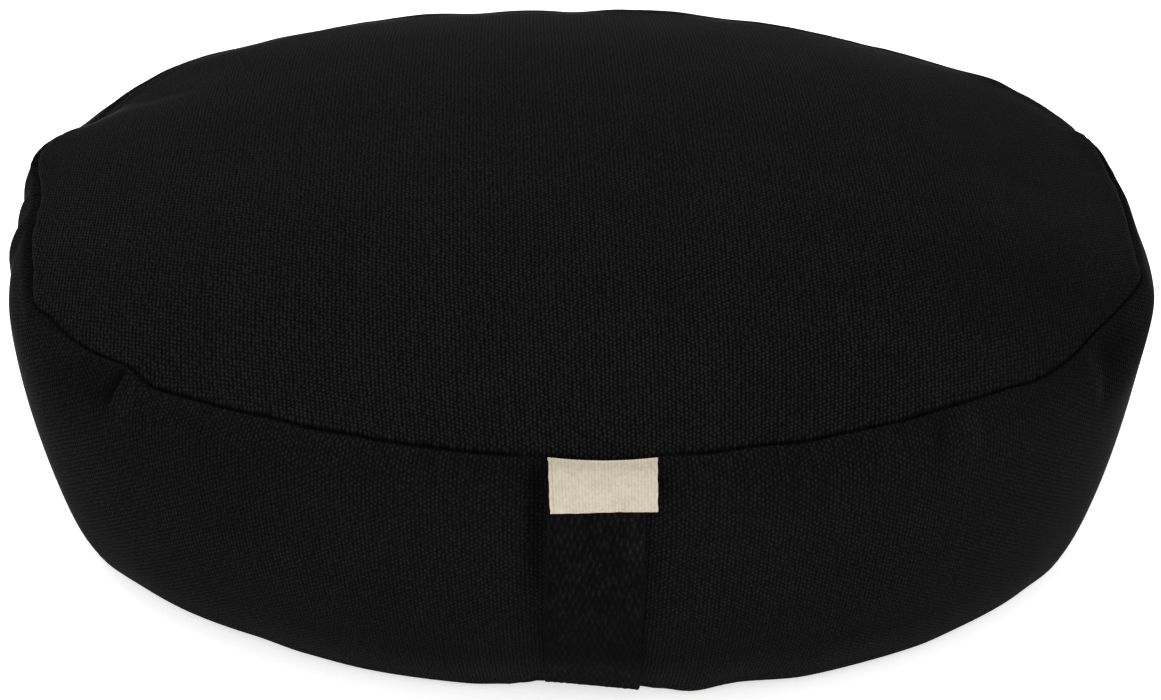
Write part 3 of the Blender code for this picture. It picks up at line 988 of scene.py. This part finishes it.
# %% Lay the strap
STRAP_THICKNESS = 1.5 * MM
STRAP_GRID = (112, 360)
WEB_RELIEF = 0.3 * MM
RIM = 0.7 * MM
RIM_SOFT = 0.3 * MM
RIM_HEIGHT = 0.3
TOP_NARROWER = 0.8 * MM
TOP_NARROWER_TO = 60 * MM
WAVE = 0.25 * MM
WAVE_SCALE = 40.0
PROUD = 0.5 * MM
PROUD_FADE = 9 * MM
PROUD_FROM = 25 * MM
PROUD_TO = (60 * MM, 90 * MM)
TOP_TUCK = 1.2 * MM
TOP_TUCK_FADE = 5 * MM
FOOT_SINK_FROM = (72 * MM, 103 * MM)
RELIEF = "relief"

# How far the foot is drawn in, at distances from the strap's left edge.
Sink = namedtuple("Sink", "from_left depth")
FOOT_SINK_MM = table(Sink, (0, 2.3), (4.5, 2.1), (12, 1.3), (22, 0.3), (29, -0.3), (31.5, -0.6))

strap, across, down = lay_sheet("strap_webbing", STRAP_WIDTH, 0.0, strap_length, STRAP_GRID)
place, out = down_line(strap_line, down)
from_left = across + 0.5 * STRAP_WIDTH
wave = WAVE * sheet_noise(across, down, WAVE_SCALE)
left_proud = PROUD * (1.0 - smooth_step(0.0, PROUD_FADE, from_left))
left_proud *= smooth_step(0.0, PROUD_FROM, down) * (1.0 - smooth_step(*PROUD_TO, down))
foot_sink = MM * np.interp(from_left / MM, *zip(*FOOT_SINK_MM))
foot_sink *= smooth_step(*FOOT_SINK_FROM, down)
top_tuck = TOP_TUCK * (1.0 - smooth_step(0.0, TOP_TUCK_FADE, down))
stand = wave + left_proud - foot_sink - top_tuck - WEB_RELIEF
narrower = TOP_NARROWER * (1.0 - smooth_step(0.0, TOP_NARROWER_TO, down))
x = STRAP_CENTRE_X + across + narrower * (0.5 - across / STRAP_WIDTH)
laid = np.stack([x, place[:, 0], place[:, 1]], axis=1)
laid[:, 1:] += out * stand[:, None]
write_points(strap, laid)

edge_distance = 0.5 * STRAP_WIDTH - np.abs(across)
in_rim = 1.0 - smooth_step(RIM - RIM_SOFT, RIM + RIM_SOFT, edge_distance)
height = web_height(across, down) * (1.0 - in_rim) + RIM_HEIGHT * in_rim
thicken(strap, STRAP_THICKNESS, WEB_RELIEF * height - rounded_rim(edge_distance))
store(strap, RELIEF, np.resize(height, len(strap.data.vertices)))
print("strap has", len(strap.data.polygons), "faces")

# %% [markdown]
# ## Press the cloth in behind the strap
#
# The strap lies tight on the band and presses a shallow trough into it. Along its left
# edge the trough is a deep slit, where the cloth lies in the strap's shadow, and by the
# right edge there is a small nook just under the seam. A ray goes out from inside the
# cushion to the strap's back at each point of the band that the strap covers, and the
# cloth is held a clearance behind it.

# %% Press the trough
TROUGH_FLAT = 17.5 * MM
TROUGH_EDGE = 28 * MM
TROUGH_DEPTH = 2 * MM
TROUGH_FADE = 12 * MM
SLIT_CENTRE = -17.0 * MM
SLIT_WIDTHS = (3.6 * MM, 2.0 * MM)
SLIT_DEPTH = 4.0 * MM
SLIT_FADE = (22 * MM, 72 * MM)
SLIT_SHADE = 0.35
SHADE = "shade"
NOOK_CENTRE = 19.5 * MM
NOOK_WIDTH = 2.5 * MM
NOOK_DEPTH = 1.1 * MM
NOOK_FADE = (10 * MM, 26 * MM)
STRAP_CLEARANCE = 0.35 * MM

points = read_points(cover)
aside = points[:, 0] - STRAP_CENTRE_X
on_front = (points[:, 1] < 0.0) & (path > 0.0) & (path < wall_length + FINE_RINGS[-1])
trough = TROUGH_DEPTH * (1.0 - smooth_step(TROUGH_FLAT, TROUGH_EDGE, np.abs(aside)))
slit_width = np.where(aside < SLIT_CENTRE, *SLIT_WIDTHS)
slit = SLIT_DEPTH * np.exp(-(((aside - SLIT_CENTRE) / slit_width) ** 2))
slit *= 1.0 - smooth_step(*SLIT_FADE, path)
nook = NOOK_DEPTH * np.exp(-(((aside - NOOK_CENTRE) / NOOK_WIDTH) ** 2))
nook *= 1.0 - smooth_step(*NOOK_FADE, path)
creases = (trough + slit + nook) * smooth_step(0.0, TROUGH_FADE, path)
points[:, 1] += np.where(on_front, creases, 0.0)

strap_tree = tree_of(strap)
pressed = 0
for index in np.flatnonzero(on_front & (np.abs(aside) < TROUGH_FLAT)):
    x, y, z = points[index]
    inner = strap_tree.ray_cast(Vector((x, 0.0, z)), Vector((0.0, -1.0, 0.0)))[0]
    if inner is not None and y < inner.y + STRAP_CLEARANCE:
        points[index, 1] = inner.y + STRAP_CLEARANCE
        pressed += 1
write_points(cover, points)
# Painted shade: the cloth in the slit by the strap's left edge is darkened in the stored shade.
shade += np.where(on_front, SLIT_SHADE * slit / SLIT_DEPTH, 0.0)
store(cover, SHADE, shade)
print("pressed", pressed, "points in behind the strap")

# %% [markdown]
# ## Map the weave onto the cover
#
# A weave must follow the cloth: front to back on the top panel, upright on the band,
# and unbroken round it. The cover therefore gets a UV map measured in metres on the
# cloth. On the top panel it is the plan, with the slow bow that the rows of a tight
# panel have. On the band it is the distance round and the distance down. The distance
# round is scaled to a whole number of yarn pairs, so the pattern meets itself at the
# back. A face that lies across the join takes all its corners from one side of it.

# %% Write the weave map
WEAVE_MAP = "weave"
COLUMN_SPACING = 1.342 * MM
PICK_SPACING = 0.866 * MM
TOP_SPREAD = 0.07
TOP_SKEW = 0.02
ROW_SLOPE = -0.075
ROW_BOW = 0.45
PICK_CROWD = 1.03
PICK_CROWD_SIDES = 0.09
PICK_CROWD_FRONT = 0.5
BAND_TAUT_OUT = 9 * MM
SEAM_SAMPLES = 4000

points = read_points(cover)
corner_point, corner_face, corners = loop_points(cover.data)
face_path = np.bincount(corner_face, path[corner_point]) / corners
face_x = np.bincount(corner_face, points[corner_point, 0]) / corners
face_y = np.bincount(corner_face, points[corner_point, 1]) / corners
on_top = (face_path < 0.0)[corner_face]
on_base = (face_path > wall_length)[corner_face]
x, y = points[corner_point, 0], points[corner_point, 1]

spread = 1.0 + TOP_SPREAD * ((x / SEAM_HALF_WIDTH) ** 4 + (y / SEAM_HALF_DEPTH) ** 4)
top_u = x * spread + TOP_SKEW * y
crowd = PICK_CROWD - PICK_CROWD_SIDES * (x / SEAM_HALF_DEPTH) ** 2
top_v = crowd * y - PICK_CROWD_FRONT * y**2 + ROW_SLOPE * x + ROW_BOW * x**2

# The turn round the plan is measured from the front, so the map's join is at the back.
front_turn = turn_from(np.arctan2(y, x), 270)
face_turn = turn_from(np.arctan2(face_y, face_x), 270)[corner_face]
front_turn = face_turn + turn_from(front_turn - face_turn, 0)
turns = np.linspace(-math.pi, math.pi, SEAM_SAMPLES)
line_angle = turns + math.radians(270)
reach = seam_radius(line_angle) + BAND_TAUT_OUT
around = run_along(reach * np.cos(line_angle), reach * np.sin(line_angle))
yarn_pairs = round(around[-1] / (2.0 * COLUMN_SPACING))
around *= yarn_pairs * 2.0 * COLUMN_SPACING / around[-1]
laps = np.floor((front_turn + math.pi) / math.tau)
band_u = np.interp(front_turn - laps * math.tau, turns, around) + laps * around[-1]

u = np.where(on_top, top_u, np.where(on_base, x, band_u))
v = np.where(on_top, top_v, np.where(on_base, y, -path[corner_point]))
write_map(cover, WEAVE_MAP, u, v)
print("the band holds", 2 * yarn_pairs, "columns of yarn")

# %% [markdown]
# ## The tab
#
# The small tab is cotton tape, cut short and caught in the seam over the strap. Its
# sides are cut edges, so they wander a little, and its top dips into the seam between
# the two panels. It leans, because it was caught slightly aslant, and its foot curls
# off the strap by a fraction of a millimetre.

# %% Lay the tab
TAB_CENTRE_X = 6.35 * MM
TAB_WIDTH = 34 * MM
TAB_HEIGHT = 17.2 * MM
TAB_IN_SEAM = 1.2 * MM
TAB_THICKNESS = 0.7 * MM
TAB_GRID = (136, 74)
TAB_RIB = 1.03 * MM
TAB_RELIEF = 0.05 * MM
TAB_EDGE_WANDER = 0.22 * MM
TAB_LOW = 0.75 * MM
TAB_LOWER_FOOT = 0.2 * MM
TAB_DIP = 1.0 * MM
TAB_LEAN = 0.7 * MM
TAB_NARROW = 0.25 * MM
TAB_SLANT = 0.35 * MM
TAB_TUCK = 0.8 * MM
TAB_CURL = 0.5 * MM
TAB_CURL_FROM = 0.2
SIDE_ONLY = 8
FOOT_ONLY = 12
SIDE_WANDER_SCALE = 420.0
SIDE_LIKENESS = 0.02
FOOT_WANDER_SCALE = 300.0
FOOT_WANDER_ROW = 0.3
CURL_SCALE = 55.0
CURL_LAYER = 0.5

tab_line = outer_line("label")
tab, across, down = lay_sheet(
    "label_tape", TAB_WIDTH, -TAB_IN_SEAM, TAB_HEIGHT + TAB_IN_SEAM, TAB_GRID
)
side = across / (0.5 * TAB_WIDTH)
low = down / TAB_HEIGHT
high = 1.0 - np.maximum(low, 0.0)
sagged = down + TAB_LOW + (TAB_LOWER_FOOT - TAB_SLANT * side) * low
sagged += TAB_DIP * high * (1.0 - side**2)
place, out = down_line(tab_line, sagged)
side_wander = TAB_EDGE_WANDER * sheet_noise(SIDE_LIKENESS * side, down, SIDE_WANDER_SCALE)
foot_wander = TAB_EDGE_WANDER * sheet_noise(across, FOOT_WANDER_ROW, FOOT_WANDER_SCALE)
x = TAB_CENTRE_X + across + side_wander * side**SIDE_ONLY
x += 0.5 * TAB_LEAN * low * (1.0 - side) - 0.5 * TAB_NARROW * high * (1.0 + side)
z = place[:, 1] + foot_wander * np.maximum(low, 0.0) ** FOOT_ONLY
tuck = np.where(down < 0.0, TAB_TUCK * (down / TAB_IN_SEAM) ** 2, 0.0)
curl = TAB_CURL * sheet_noise(across, down, CURL_SCALE, CURL_LAYER)
curl *= smooth_step(TAB_CURL_FROM, 1.0, low)
laid = np.stack([x, place[:, 0], z], axis=1)
laid[:, 1:] += out * (curl - tuck - TAB_RELIEF)[:, None]
write_points(tab, laid)
rib = 0.5 + 0.5 * np.cos(math.tau * across / TAB_RIB)
thicken(tab, TAB_THICKNESS, TAB_RELIEF * rib)
print("tab has", len(tab.data.polygons), "faces")

# %% [markdown]
# ## Shader maths as plain expressions
#
# A weave is arithmetic: which column, which pick, how high on the yarn. In Blender
# that arithmetic is Math nodes. The small class below wraps a node's output, so that
# an ordinary Python expression builds them, and its method make adds any other node. The
# short methods after it only save repeating what the finishes use most.

# %% Make the shader helper
class Value:
    """An output in a material's nodes. Operators on it add Math nodes."""

    def __init__(self, tree, socket=None):
        self.tree = tree
        self.socket = socket

    def make(self, kind, settings=None, inputs=None, output=0):
        """Add a node: its settings first, then its inputs' values or links."""
        node = self.tree.nodes.new(kind)
        for name, setting in (settings or {}).items():
            setattr(node, name, setting)
        for name, value in (inputs or {}).items():
            if isinstance(value, Value):
                self.tree.links.new(value.socket, node.inputs[name])
            else:
                node.inputs[name].default_value = value
        return Value(self.tree, node.outputs[output])

    def output(self, name):
        """Another output of the same node."""
        return Value(self.tree, self.socket.node.outputs[name])

    def math(self, operation, *others):
        """Add a Math node on this value and others."""
        inputs = dict(enumerate((self, *others)))
        return self.make("ShaderNodeMath", {"operation": operation}, inputs)

    def __add__(self, other):
        return self.math("ADD", other)

    def __radd__(self, other):
        return self.math("ADD", other)

    def __sub__(self, other):
        return self.math("SUBTRACT", other)

    def __rsub__(self, other):
        return self.make("ShaderNodeMath", {"operation": "SUBTRACT"}, {0: other, 1: self})

    def __mul__(self, other):
        return self.math("MULTIPLY", other)

    def __rmul__(self, other):
        return self.math("MULTIPLY", other)

    def __truediv__(self, other):
        return self.math("DIVIDE", other)

    def __pow__(self, other):
        return self.math("MAXIMUM", 0.0).math("POWER", other)

    def step(self, low, high):
        """Rise smoothly from 0 at low to 1 at high."""
        inputs = {"Value": self, "From Min": low, "From Max": high}
        return self.make("ShaderNodeMapRange", {"interpolation_type": "SMOOTHSTEP"}, inputs)

    def mix(self, colour_at_0, colour_at_1):
        """Mix two colours by this value."""
        inputs = {0: self, 6: colour_at_0, 7: colour_at_1}
        return self.make("ShaderNodeMix", {"data_type": "RGBA"}, inputs, output=2)

    def between(self, low, high):
        """Spread this value, from 0 to 1, out between low and high."""
        return low + (high - low) * self

    def noise(self, scale, detail=1.0, low=0.0, high=1.0):
        """Smooth noise at this place, mostly between low and high."""
        inputs = {"Vector": self, "Scale": scale, "Detail": detail}
        plain = self.make("ShaderNodeTexNoise", None, inputs)
        return plain if (low, high) == (0.0, 1.0) else plain.between(low, high)

    def chance(self, other=0.0):
        """A random number from 0 to 1 for this whole number and another."""
        pair = self.make("ShaderNodeCombineXYZ", None, {0: self, 1: other})
        return self.make("ShaderNodeTexWhiteNoise", {"noise_dimensions": "2D"}, {"Vector": pair})

    def parts(self):
        """The X, Y and Z of this place, or the red, green and blue of this colour."""
        split = self.make("ShaderNodeSeparateXYZ", None, {0: self})
        return [split.output(axis) for axis in "XYZ"]

    def stored(self, name):
        """A number stored on the mesh's points."""
        return self.make("ShaderNodeAttribute", {"attribute_name": name}, output="Fac")

    def on_map(self, name):
        """The place on a UV map."""
        return self.make("ShaderNodeUVMap", {"uv_map": name})

    def flecks(self, scale, size, share):
        """Scattered flecks at this place, 1 inside them. Their size and share each run
        from where a fleck is whole to where it is gone."""
        inputs = {"Vector": self, "Scale": scale, "Randomness": 1.0}
        cell = self.make("ShaderNodeTexVoronoi", None, inputs)
        lot = cell.output("Color").parts()[0]
        return (1.0 - (cell / scale).step(*size)) * lot.step(*share)

    def bump(self, distance):
        """Turn this height into a normal."""
        return self.make("ShaderNodeBump", None, {"Distance": distance, "Height": self})


def colour(red, green, blue):
    """An opaque colour."""
    return (red, green, blue, 1.0)


def new_material(name, thing):
    """Make a material and give it to a piece. Return its shader and the place on it."""
    material = bpy.data.materials.new(name)
    material.use_nodes = True
    thing.data.materials.clear()
    thing.data.materials.append(material)
    place = Value(material.node_tree).make("ShaderNodeTexCoord", output="Object")
    return material.node_tree.nodes["Principled BSDF"], place


def connect(shader, values):
    """Set or link a shader's inputs."""
    for name, value in values.items():
        if isinstance(value, Value):
            value.tree.links.new(value.socket, shader.inputs[name])
        else:
            shader.inputs[name].default_value = value


print("shader helper ready")

# %% [markdown]
# ## Black duck
#
# Duck is a plain weave of stout yarn, packed so tight that mostly its upright yarns
# show, as short knuckles in staggered columns. As a mesh, nearly a hundred thousand
# knuckles would be far too heavy, so they are worked out in the material: which column,
# which pick, and how high on the knuckle. A slow wander keeps the columns from being
# ruled lines, and each knuckle sits a little off its place.

# %% Weave the duck
WANDER = 0.9 * MM
JITTER = 0.28
DIVE_HEIGHT = 0.42

shader, place = new_material("black_duck", cover)
cloth_x, cloth_y, _ = place.on_map(WEAVE_MAP).parts()
wander_x, wander_y, _ = place.noise(scale=30.0).output("Color").parts()
across = (cloth_x + (wander_x - 0.5) * WANDER) / COLUMN_SPACING
column = across.math("FLOOR")
down = (cloth_y + (wander_y - 0.5) * WANDER) / (2.0 * PICK_SPACING)
down = down + 0.5 * column.math("FLOORED_MODULO", 2.0)
pick = down.math("FLOOR")
lot_x, lot_y, lot_z = column.chance(pick).output("Color").parts()
aside = (across - column - 0.5 + (lot_x - 0.5) * JITTER) * math.pi
along = (down - pick - 0.5 + (lot_y - 0.5) * JITTER) * math.pi
ridge = aside.math("COSINE")
knuckle = ridge * along.math("COSINE").math("MAXIMUM", 0.0)
dive = ridge * (1.0 - along.math("COSINE")) * DIVE_HEIGHT
weave = knuckle.math("MAXIMUM", dive)
print("weave takes", len(shader.id_data.nodes), "nodes")

# %% [markdown]
# The colour is nearly black: what shows the weave is that each knuckle's back is paler,
# partly dust and partly a painted highlight, and each gap is darkened with painted shade.
# It isn't equally crisp all over. Cloth that is stretched and handled is more even, so
# the contrast falls off towards the back, on the right and down the band. The painted
# shade stored on the mesh darkens the folds and lightens ridges and the foot, painted
# shade darkens the seam, the top panel gets painted light a shade above the band, and a
# little grey dust lies over it all.

# %% Dust the duck and paint its light and shade
# The gap colour is painted shade between the knuckles; the yarn colour on their backs is partly
# dust and partly a painted highlight.
DUCK_GAP_PAINTED_SHADE = colour(0.0024, 0.0024, 0.0024)
DUCK_YARN = colour(0.0127, 0.0127, 0.0126)
CONTRAST = 1.6
MEAN_WOVEN = 0.38
EVEN_FRONT = 0.05
EVEN_BACK = 0.55
EVEN_BACK_FROM = (-0.1, 0.1)
EVEN_RIGHT = 0.35
EVEN_RIGHT_FROM = (0.09, 0.17)
EVEN_BAND = 0.26
EVEN_LOW = 0.3
EVEN_LOW_FROM = (50 * MM, 95 * MM)
EVEN_MOST = 0.7
SEAM_SOFT = 1 * MM
SEAM_PAINTED_SHADE = 0.6
SEAM_SHADOW = (0.35 * MM, 1.1 * MM)
TOP_PAINTED_LIGHT = 1.15

yarn = column.chance().between(0.94, 1.06)
each = lot_z.between(0.65, 1.35)
fibre = place.noise(scale=2400.0, detail=3.0, low=0.65, high=1.35)
dusty = place.noise(scale=55.0, detail=3.0, low=0.64, high=1.08)
dusty = dusty + place.noise(scale=13.0, detail=2.0, high=0.28)
from_seam = place.stored(PATH)
on_band = from_seam.step(0.0, SEAM_SOFT)
x, y, _ = place.parts()
even_top = EVEN_FRONT + EVEN_BACK * y.step(*EVEN_BACK_FROM)
even_right = EVEN_RIGHT * x.step(*EVEN_RIGHT_FROM)
even_band = EVEN_BAND + EVEN_LOW * from_seam.step(*EVEN_LOW_FROM)
even = even_top + even_right + on_band * (even_band - even_top)
even = even.math("MINIMUM", EVEN_MOST)
woven = (weave**CONTRAST) * yarn * each * fibre
woven = woven + even * (MEAN_WOVEN - woven)
# Painted shade in the seam's groove, uneven along it.
in_seam = 1.0 - from_seam.math("ABSOLUTE").step(*SEAM_SHADOW)
in_seam = in_seam * place.noise(scale=220.0, low=0.5, high=1.5)
# Painted shade and highlights stored on the mesh, and painted light on the top panel.
painted_light_and_shade = (1.0 - place.stored(SHADE)) * (TOP_PAINTED_LIGHT - (TOP_PAINTED_LIGHT - 1.0) * on_band)
pale = woven * dusty * (1.0 - SEAM_PAINTED_SHADE * in_seam) * painted_light_and_shade
print("dust brings it to", len(shader.id_data.nodes), "nodes")

# %% [markdown]
# Cotton is fuzzy, and the fuzz is what gives black cloth its pale rim where it turns
# from the eye. The shader's sheen does that, but over a rough weave it spreads far into
# the panel. So the sheen is kept faint, and most of the rim is a painted sheen in the
# base colour, from a Layer Weight, which reads the smooth cloth under the weave. The
# painted sheen is kept out of the painted shade of the folds and the seam. Last come a
# few specks of lint.

# %% Finish the duck
DUCK_PAINTED_SHEEN = colour(0.052, 0.052, 0.052)
DUCK_LINT = colour(0.12, 0.115, 0.11)
PAINTED_SHEEN_POWER = 12.0
COTTON_SHEEN = 0.022
COTTON_SHEEN_ROUGHNESS = 0.2
KNUCKLE_RELIEF = 0.3 * MM

# Painted sheen: a pale rim in the base colour where the cloth turns from the eye.
facing = place.make("ShaderNodeLayerWeight", None, {"Blend": 0.5}, output="Facing")
outside_painted_shade = (painted_light_and_shade.math("MINIMUM", 1.0) ** 2.0) * (1.0 - in_seam.math("MINIMUM", 1.0))
fuzz_and_painted_sheen = (facing**PAINTED_SHEEN_POWER) * outside_painted_shade
cloth_colour = fuzz_and_painted_sheen.mix(pale.mix(DUCK_GAP_PAINTED_SHADE, DUCK_YARN), DUCK_PAINTED_SHEEN)
lint = place.flecks(scale=26.0, size=(0.25 * MM, 0.5 * MM), share=(0.7, 0.72))
connect(
    shader,
    {
        "Base Color": lint.mix(cloth_colour, DUCK_LINT),
        "Roughness": 0.95 - 0.15 * weave,
        "Specular IOR Level": 0.0,
        "Sheen Weight": COTTON_SHEEN,
        "Sheen Roughness": COTTON_SHEEN_ROUGHNESS,
        "Normal": (weave * (0.8 + 0.2 * fibre)).bump(KNUCKLE_RELIEF),
    },
)
print("duck has", len(shader.id_data.nodes), "nodes")

# %% [markdown]
# ## Black webbing
#
# The webbing's grains are already in its mesh. Its material paints shade into the gaps
# between them and gives the yarn its fine fibres, so it reads the same height that
# raised the mesh, stored on its points. A painted highlight lies by its right edge near
# the top and painted light at the foot, and its lower part is smoother.

# %% Make the webbing
# The gap colour is painted shade between the grains.
WEB_GAP_PAINTED_SHADE = colour(0.0014, 0.0014, 0.0014)
WEB_YARN = colour(0.0131, 0.0131, 0.0129)
WEB_FIBRES = (5200.0, 900.0, 1.0)
WEB_FOOT_PAINTED_LIGHT = 1.0
WEB_FOOT_PAINTED_LIGHT_FROM = (82 * MM, 100 * MM)
WEB_PAINTED_HIGHLIGHT = 0.35
WEB_PAINTED_HIGHLIGHT_ACROSS = (8 * MM, 12 * MM)
WEB_PAINTED_HIGHLIGHT_DOWN = (26 * MM, 50 * MM)
WEB_MEAN = 0.25
WEB_EVEN = 0.35
WEB_EVEN_LOW = 0.35
WEB_EVEN_LOW_FROM = (40 * MM, 85 * MM)
WEB_FIBRE_RELIEF = 0.08 * MM

shader, place = new_material("black_webbing", strap)
height = place.stored(RELIEF)
web_place = place.on_map(CUT_MAP)
web_across, web_down, _ = web_place.parts()
strands = web_place.make("ShaderNodeMapping", None, {"Vector": web_place, "Scale": WEB_FIBRES})
fibre = strands.noise(scale=1.0, detail=2.0, low=0.6, high=1.4)
patchy = place.noise(scale=140.0, detail=3.0, low=0.6, high=1.4)
ragged = place.noise(scale=950.0, detail=2.0, low=0.3, high=1.7)
woven = height * fibre * ragged
# Painted highlight by the strap's right edge near the top.
painted_highlight = web_across.step(*WEB_PAINTED_HIGHLIGHT_ACROSS) * (1.0 - web_down.step(*WEB_PAINTED_HIGHLIGHT_DOWN))
# Painted light at the strap's foot, where light from the floor falls.
painted_foot_light = 1.0 + WEB_FOOT_PAINTED_LIGHT * web_down.step(*WEB_FOOT_PAINTED_LIGHT_FROM)
even = WEB_EVEN + WEB_EVEN_LOW * web_down.step(*WEB_EVEN_LOW_FROM)
pale = (woven + even * (WEB_MEAN - woven)) * patchy * (1.0 + WEB_PAINTED_HIGHLIGHT * painted_highlight) * painted_foot_light
connect(
    shader,
    {
        "Base Color": pale.mix(WEB_GAP_PAINTED_SHADE, WEB_YARN),
        "Roughness": 0.9 - 0.15 * height,
        "Specular IOR Level": 0.0,
        "Sheen Weight": COTTON_SHEEN,
        "Sheen Roughness": COTTON_SHEEN_ROUGHNESS,
        "Normal": (fibre * height).bump(WEB_FIBRE_RELIEF),
    },
)
print("webbing has", len(shader.id_data.nodes), "nodes")

# %% [markdown]
# ## Cream tape
#
# The tab is undyed cotton twill. Twill shows slanting lines, and here they reverse
# from rib to rib. A line of painted shade runs down beside its left edge, where the tape
# is folded, and painted shade darkens it near the seam, where it turns in. Undyed cotton
# also keeps a few brown flecks of seed.

# %% Make the tape
TAPE_LIGHT = colour(0.66, 0.595, 0.475)
TAPE_SHADE = colour(0.38, 0.335, 0.25)
TAPE_FLECK = colour(0.26, 0.16, 0.07)
FLECK_COVER = 0.7
TWILL_STEEP = 1.6
TWILL_SPACING = 0.62 * MM
FOLD_IN = 1.1 * MM
FOLD_SOFT = (0.1 * MM, 0.5 * MM)
PAINTED_SHADE_REACH = 4.5 * MM
TAPE_BALANCE = 0.78
TAPE_RELIEF = 0.08 * MM

shader, place = new_material("cream_tape", tab)
tape_across, tape_down, _ = place.on_map(CUT_MAP).parts()
rib_place = tape_across / TAB_RIB
rib_side = (rib_place - rib_place.math("FLOOR") - 0.5).math("ABSOLUTE")
slant = (tape_down + rib_side * (TWILL_STEEP * TAB_RIB)) * (math.tau / TWILL_SPACING)
twill = 0.5 + 0.5 * slant.math("SINE")
rib = 1.0 - (rib_side * 2.0)
cotton = place.noise(scale=1500.0, detail=3.0)
fuzz_and_painted_sheen = place.noise(scale=650.0, detail=2.0)
dull = place.noise(scale=160.0, detail=2.0)
# Painted shade along the fold line and under the seam.
fold_line = (tape_across + 0.5 * TAB_WIDTH - FOLD_IN).math("ABSOLUTE")
painted_fold_shade = 1.0 - fold_line.step(*FOLD_SOFT)
painted_seam_shade = 1.0 - tape_down.step(0.0, PAINTED_SHADE_REACH)

# Each part of the tape's look, with how much it darkens the tape.
weighted = (
    (twill, 0.45), (rib, 0.25), (cotton, 0.8), (fuzz_and_painted_sheen, 0.6), (dull, 0.4),
    (painted_fold_shade, 0.25), (painted_seam_shade, 0.28),
)
shade = sum(part * weight for part, weight in weighted) - TAPE_BALANCE
seed = FLECK_COVER * place.flecks(scale=190.0, size=(0.1 * MM, 0.35 * MM), share=(0.86, 0.9))
connect(
    shader,
    {
        "Base Color": seed.mix(shade.mix(TAPE_LIGHT, TAPE_SHADE), TAPE_FLECK),
        "Roughness": 0.9 + 0.08 * twill,
        "Specular IOR Level": 0.2,
        "Sheen Weight": 0.1,
        "Sheen Roughness": 0.5,
        "Normal": (1.0 - 0.6 * twill - 0.4 * cotton).bump(TAPE_RELIEF),
    },
)
print("tape has", len(shader.id_data.nodes), "nodes")

# %% [markdown]
# ## The floor's paper
#
# The backdrop is a wide roll of white paper on a table that is lit from beneath, so
# shadows on it stay pale. It has a faint tooth, so that it is a surface and not an
# empty colour.

# %% Make the paper
PAPER_LIGHT = colour(0.93, 0.93, 0.93)
PAPER_SHADE = colour(0.90, 0.90, 0.90)
PAPER_GLOW = 0.65
PAPER_RELIEF = 0.05 * MM

shader, place = new_material("white_paper", floor)
tooth = place.noise(scale=900.0, detail=3.0)
connect(
    shader,
    {
        "Base Color": tooth.mix(PAPER_SHADE, PAPER_LIGHT),
        "Emission Color": PAPER_LIGHT,
        "Emission Strength": PAPER_GLOW,
        "Roughness": 0.9,
        "Specular IOR Level": 0.2,
        "Normal": tooth.bump(PAPER_RELIEF),
    },
)
print("paper has", len(shader.id_data.nodes), "nodes")

# %% [markdown]
# ## Put each piece in place
#
# Every piece rides on the one body and takes the place of its plain solid in the frame,
# which is hidden.

for piece, node, slot in (
    (cover, "cushion", "duck"),
    (strap, "handle_strap", "webbing"),
    (tab, "label", "tape"),
):
    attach(piece, "root")
    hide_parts(node)
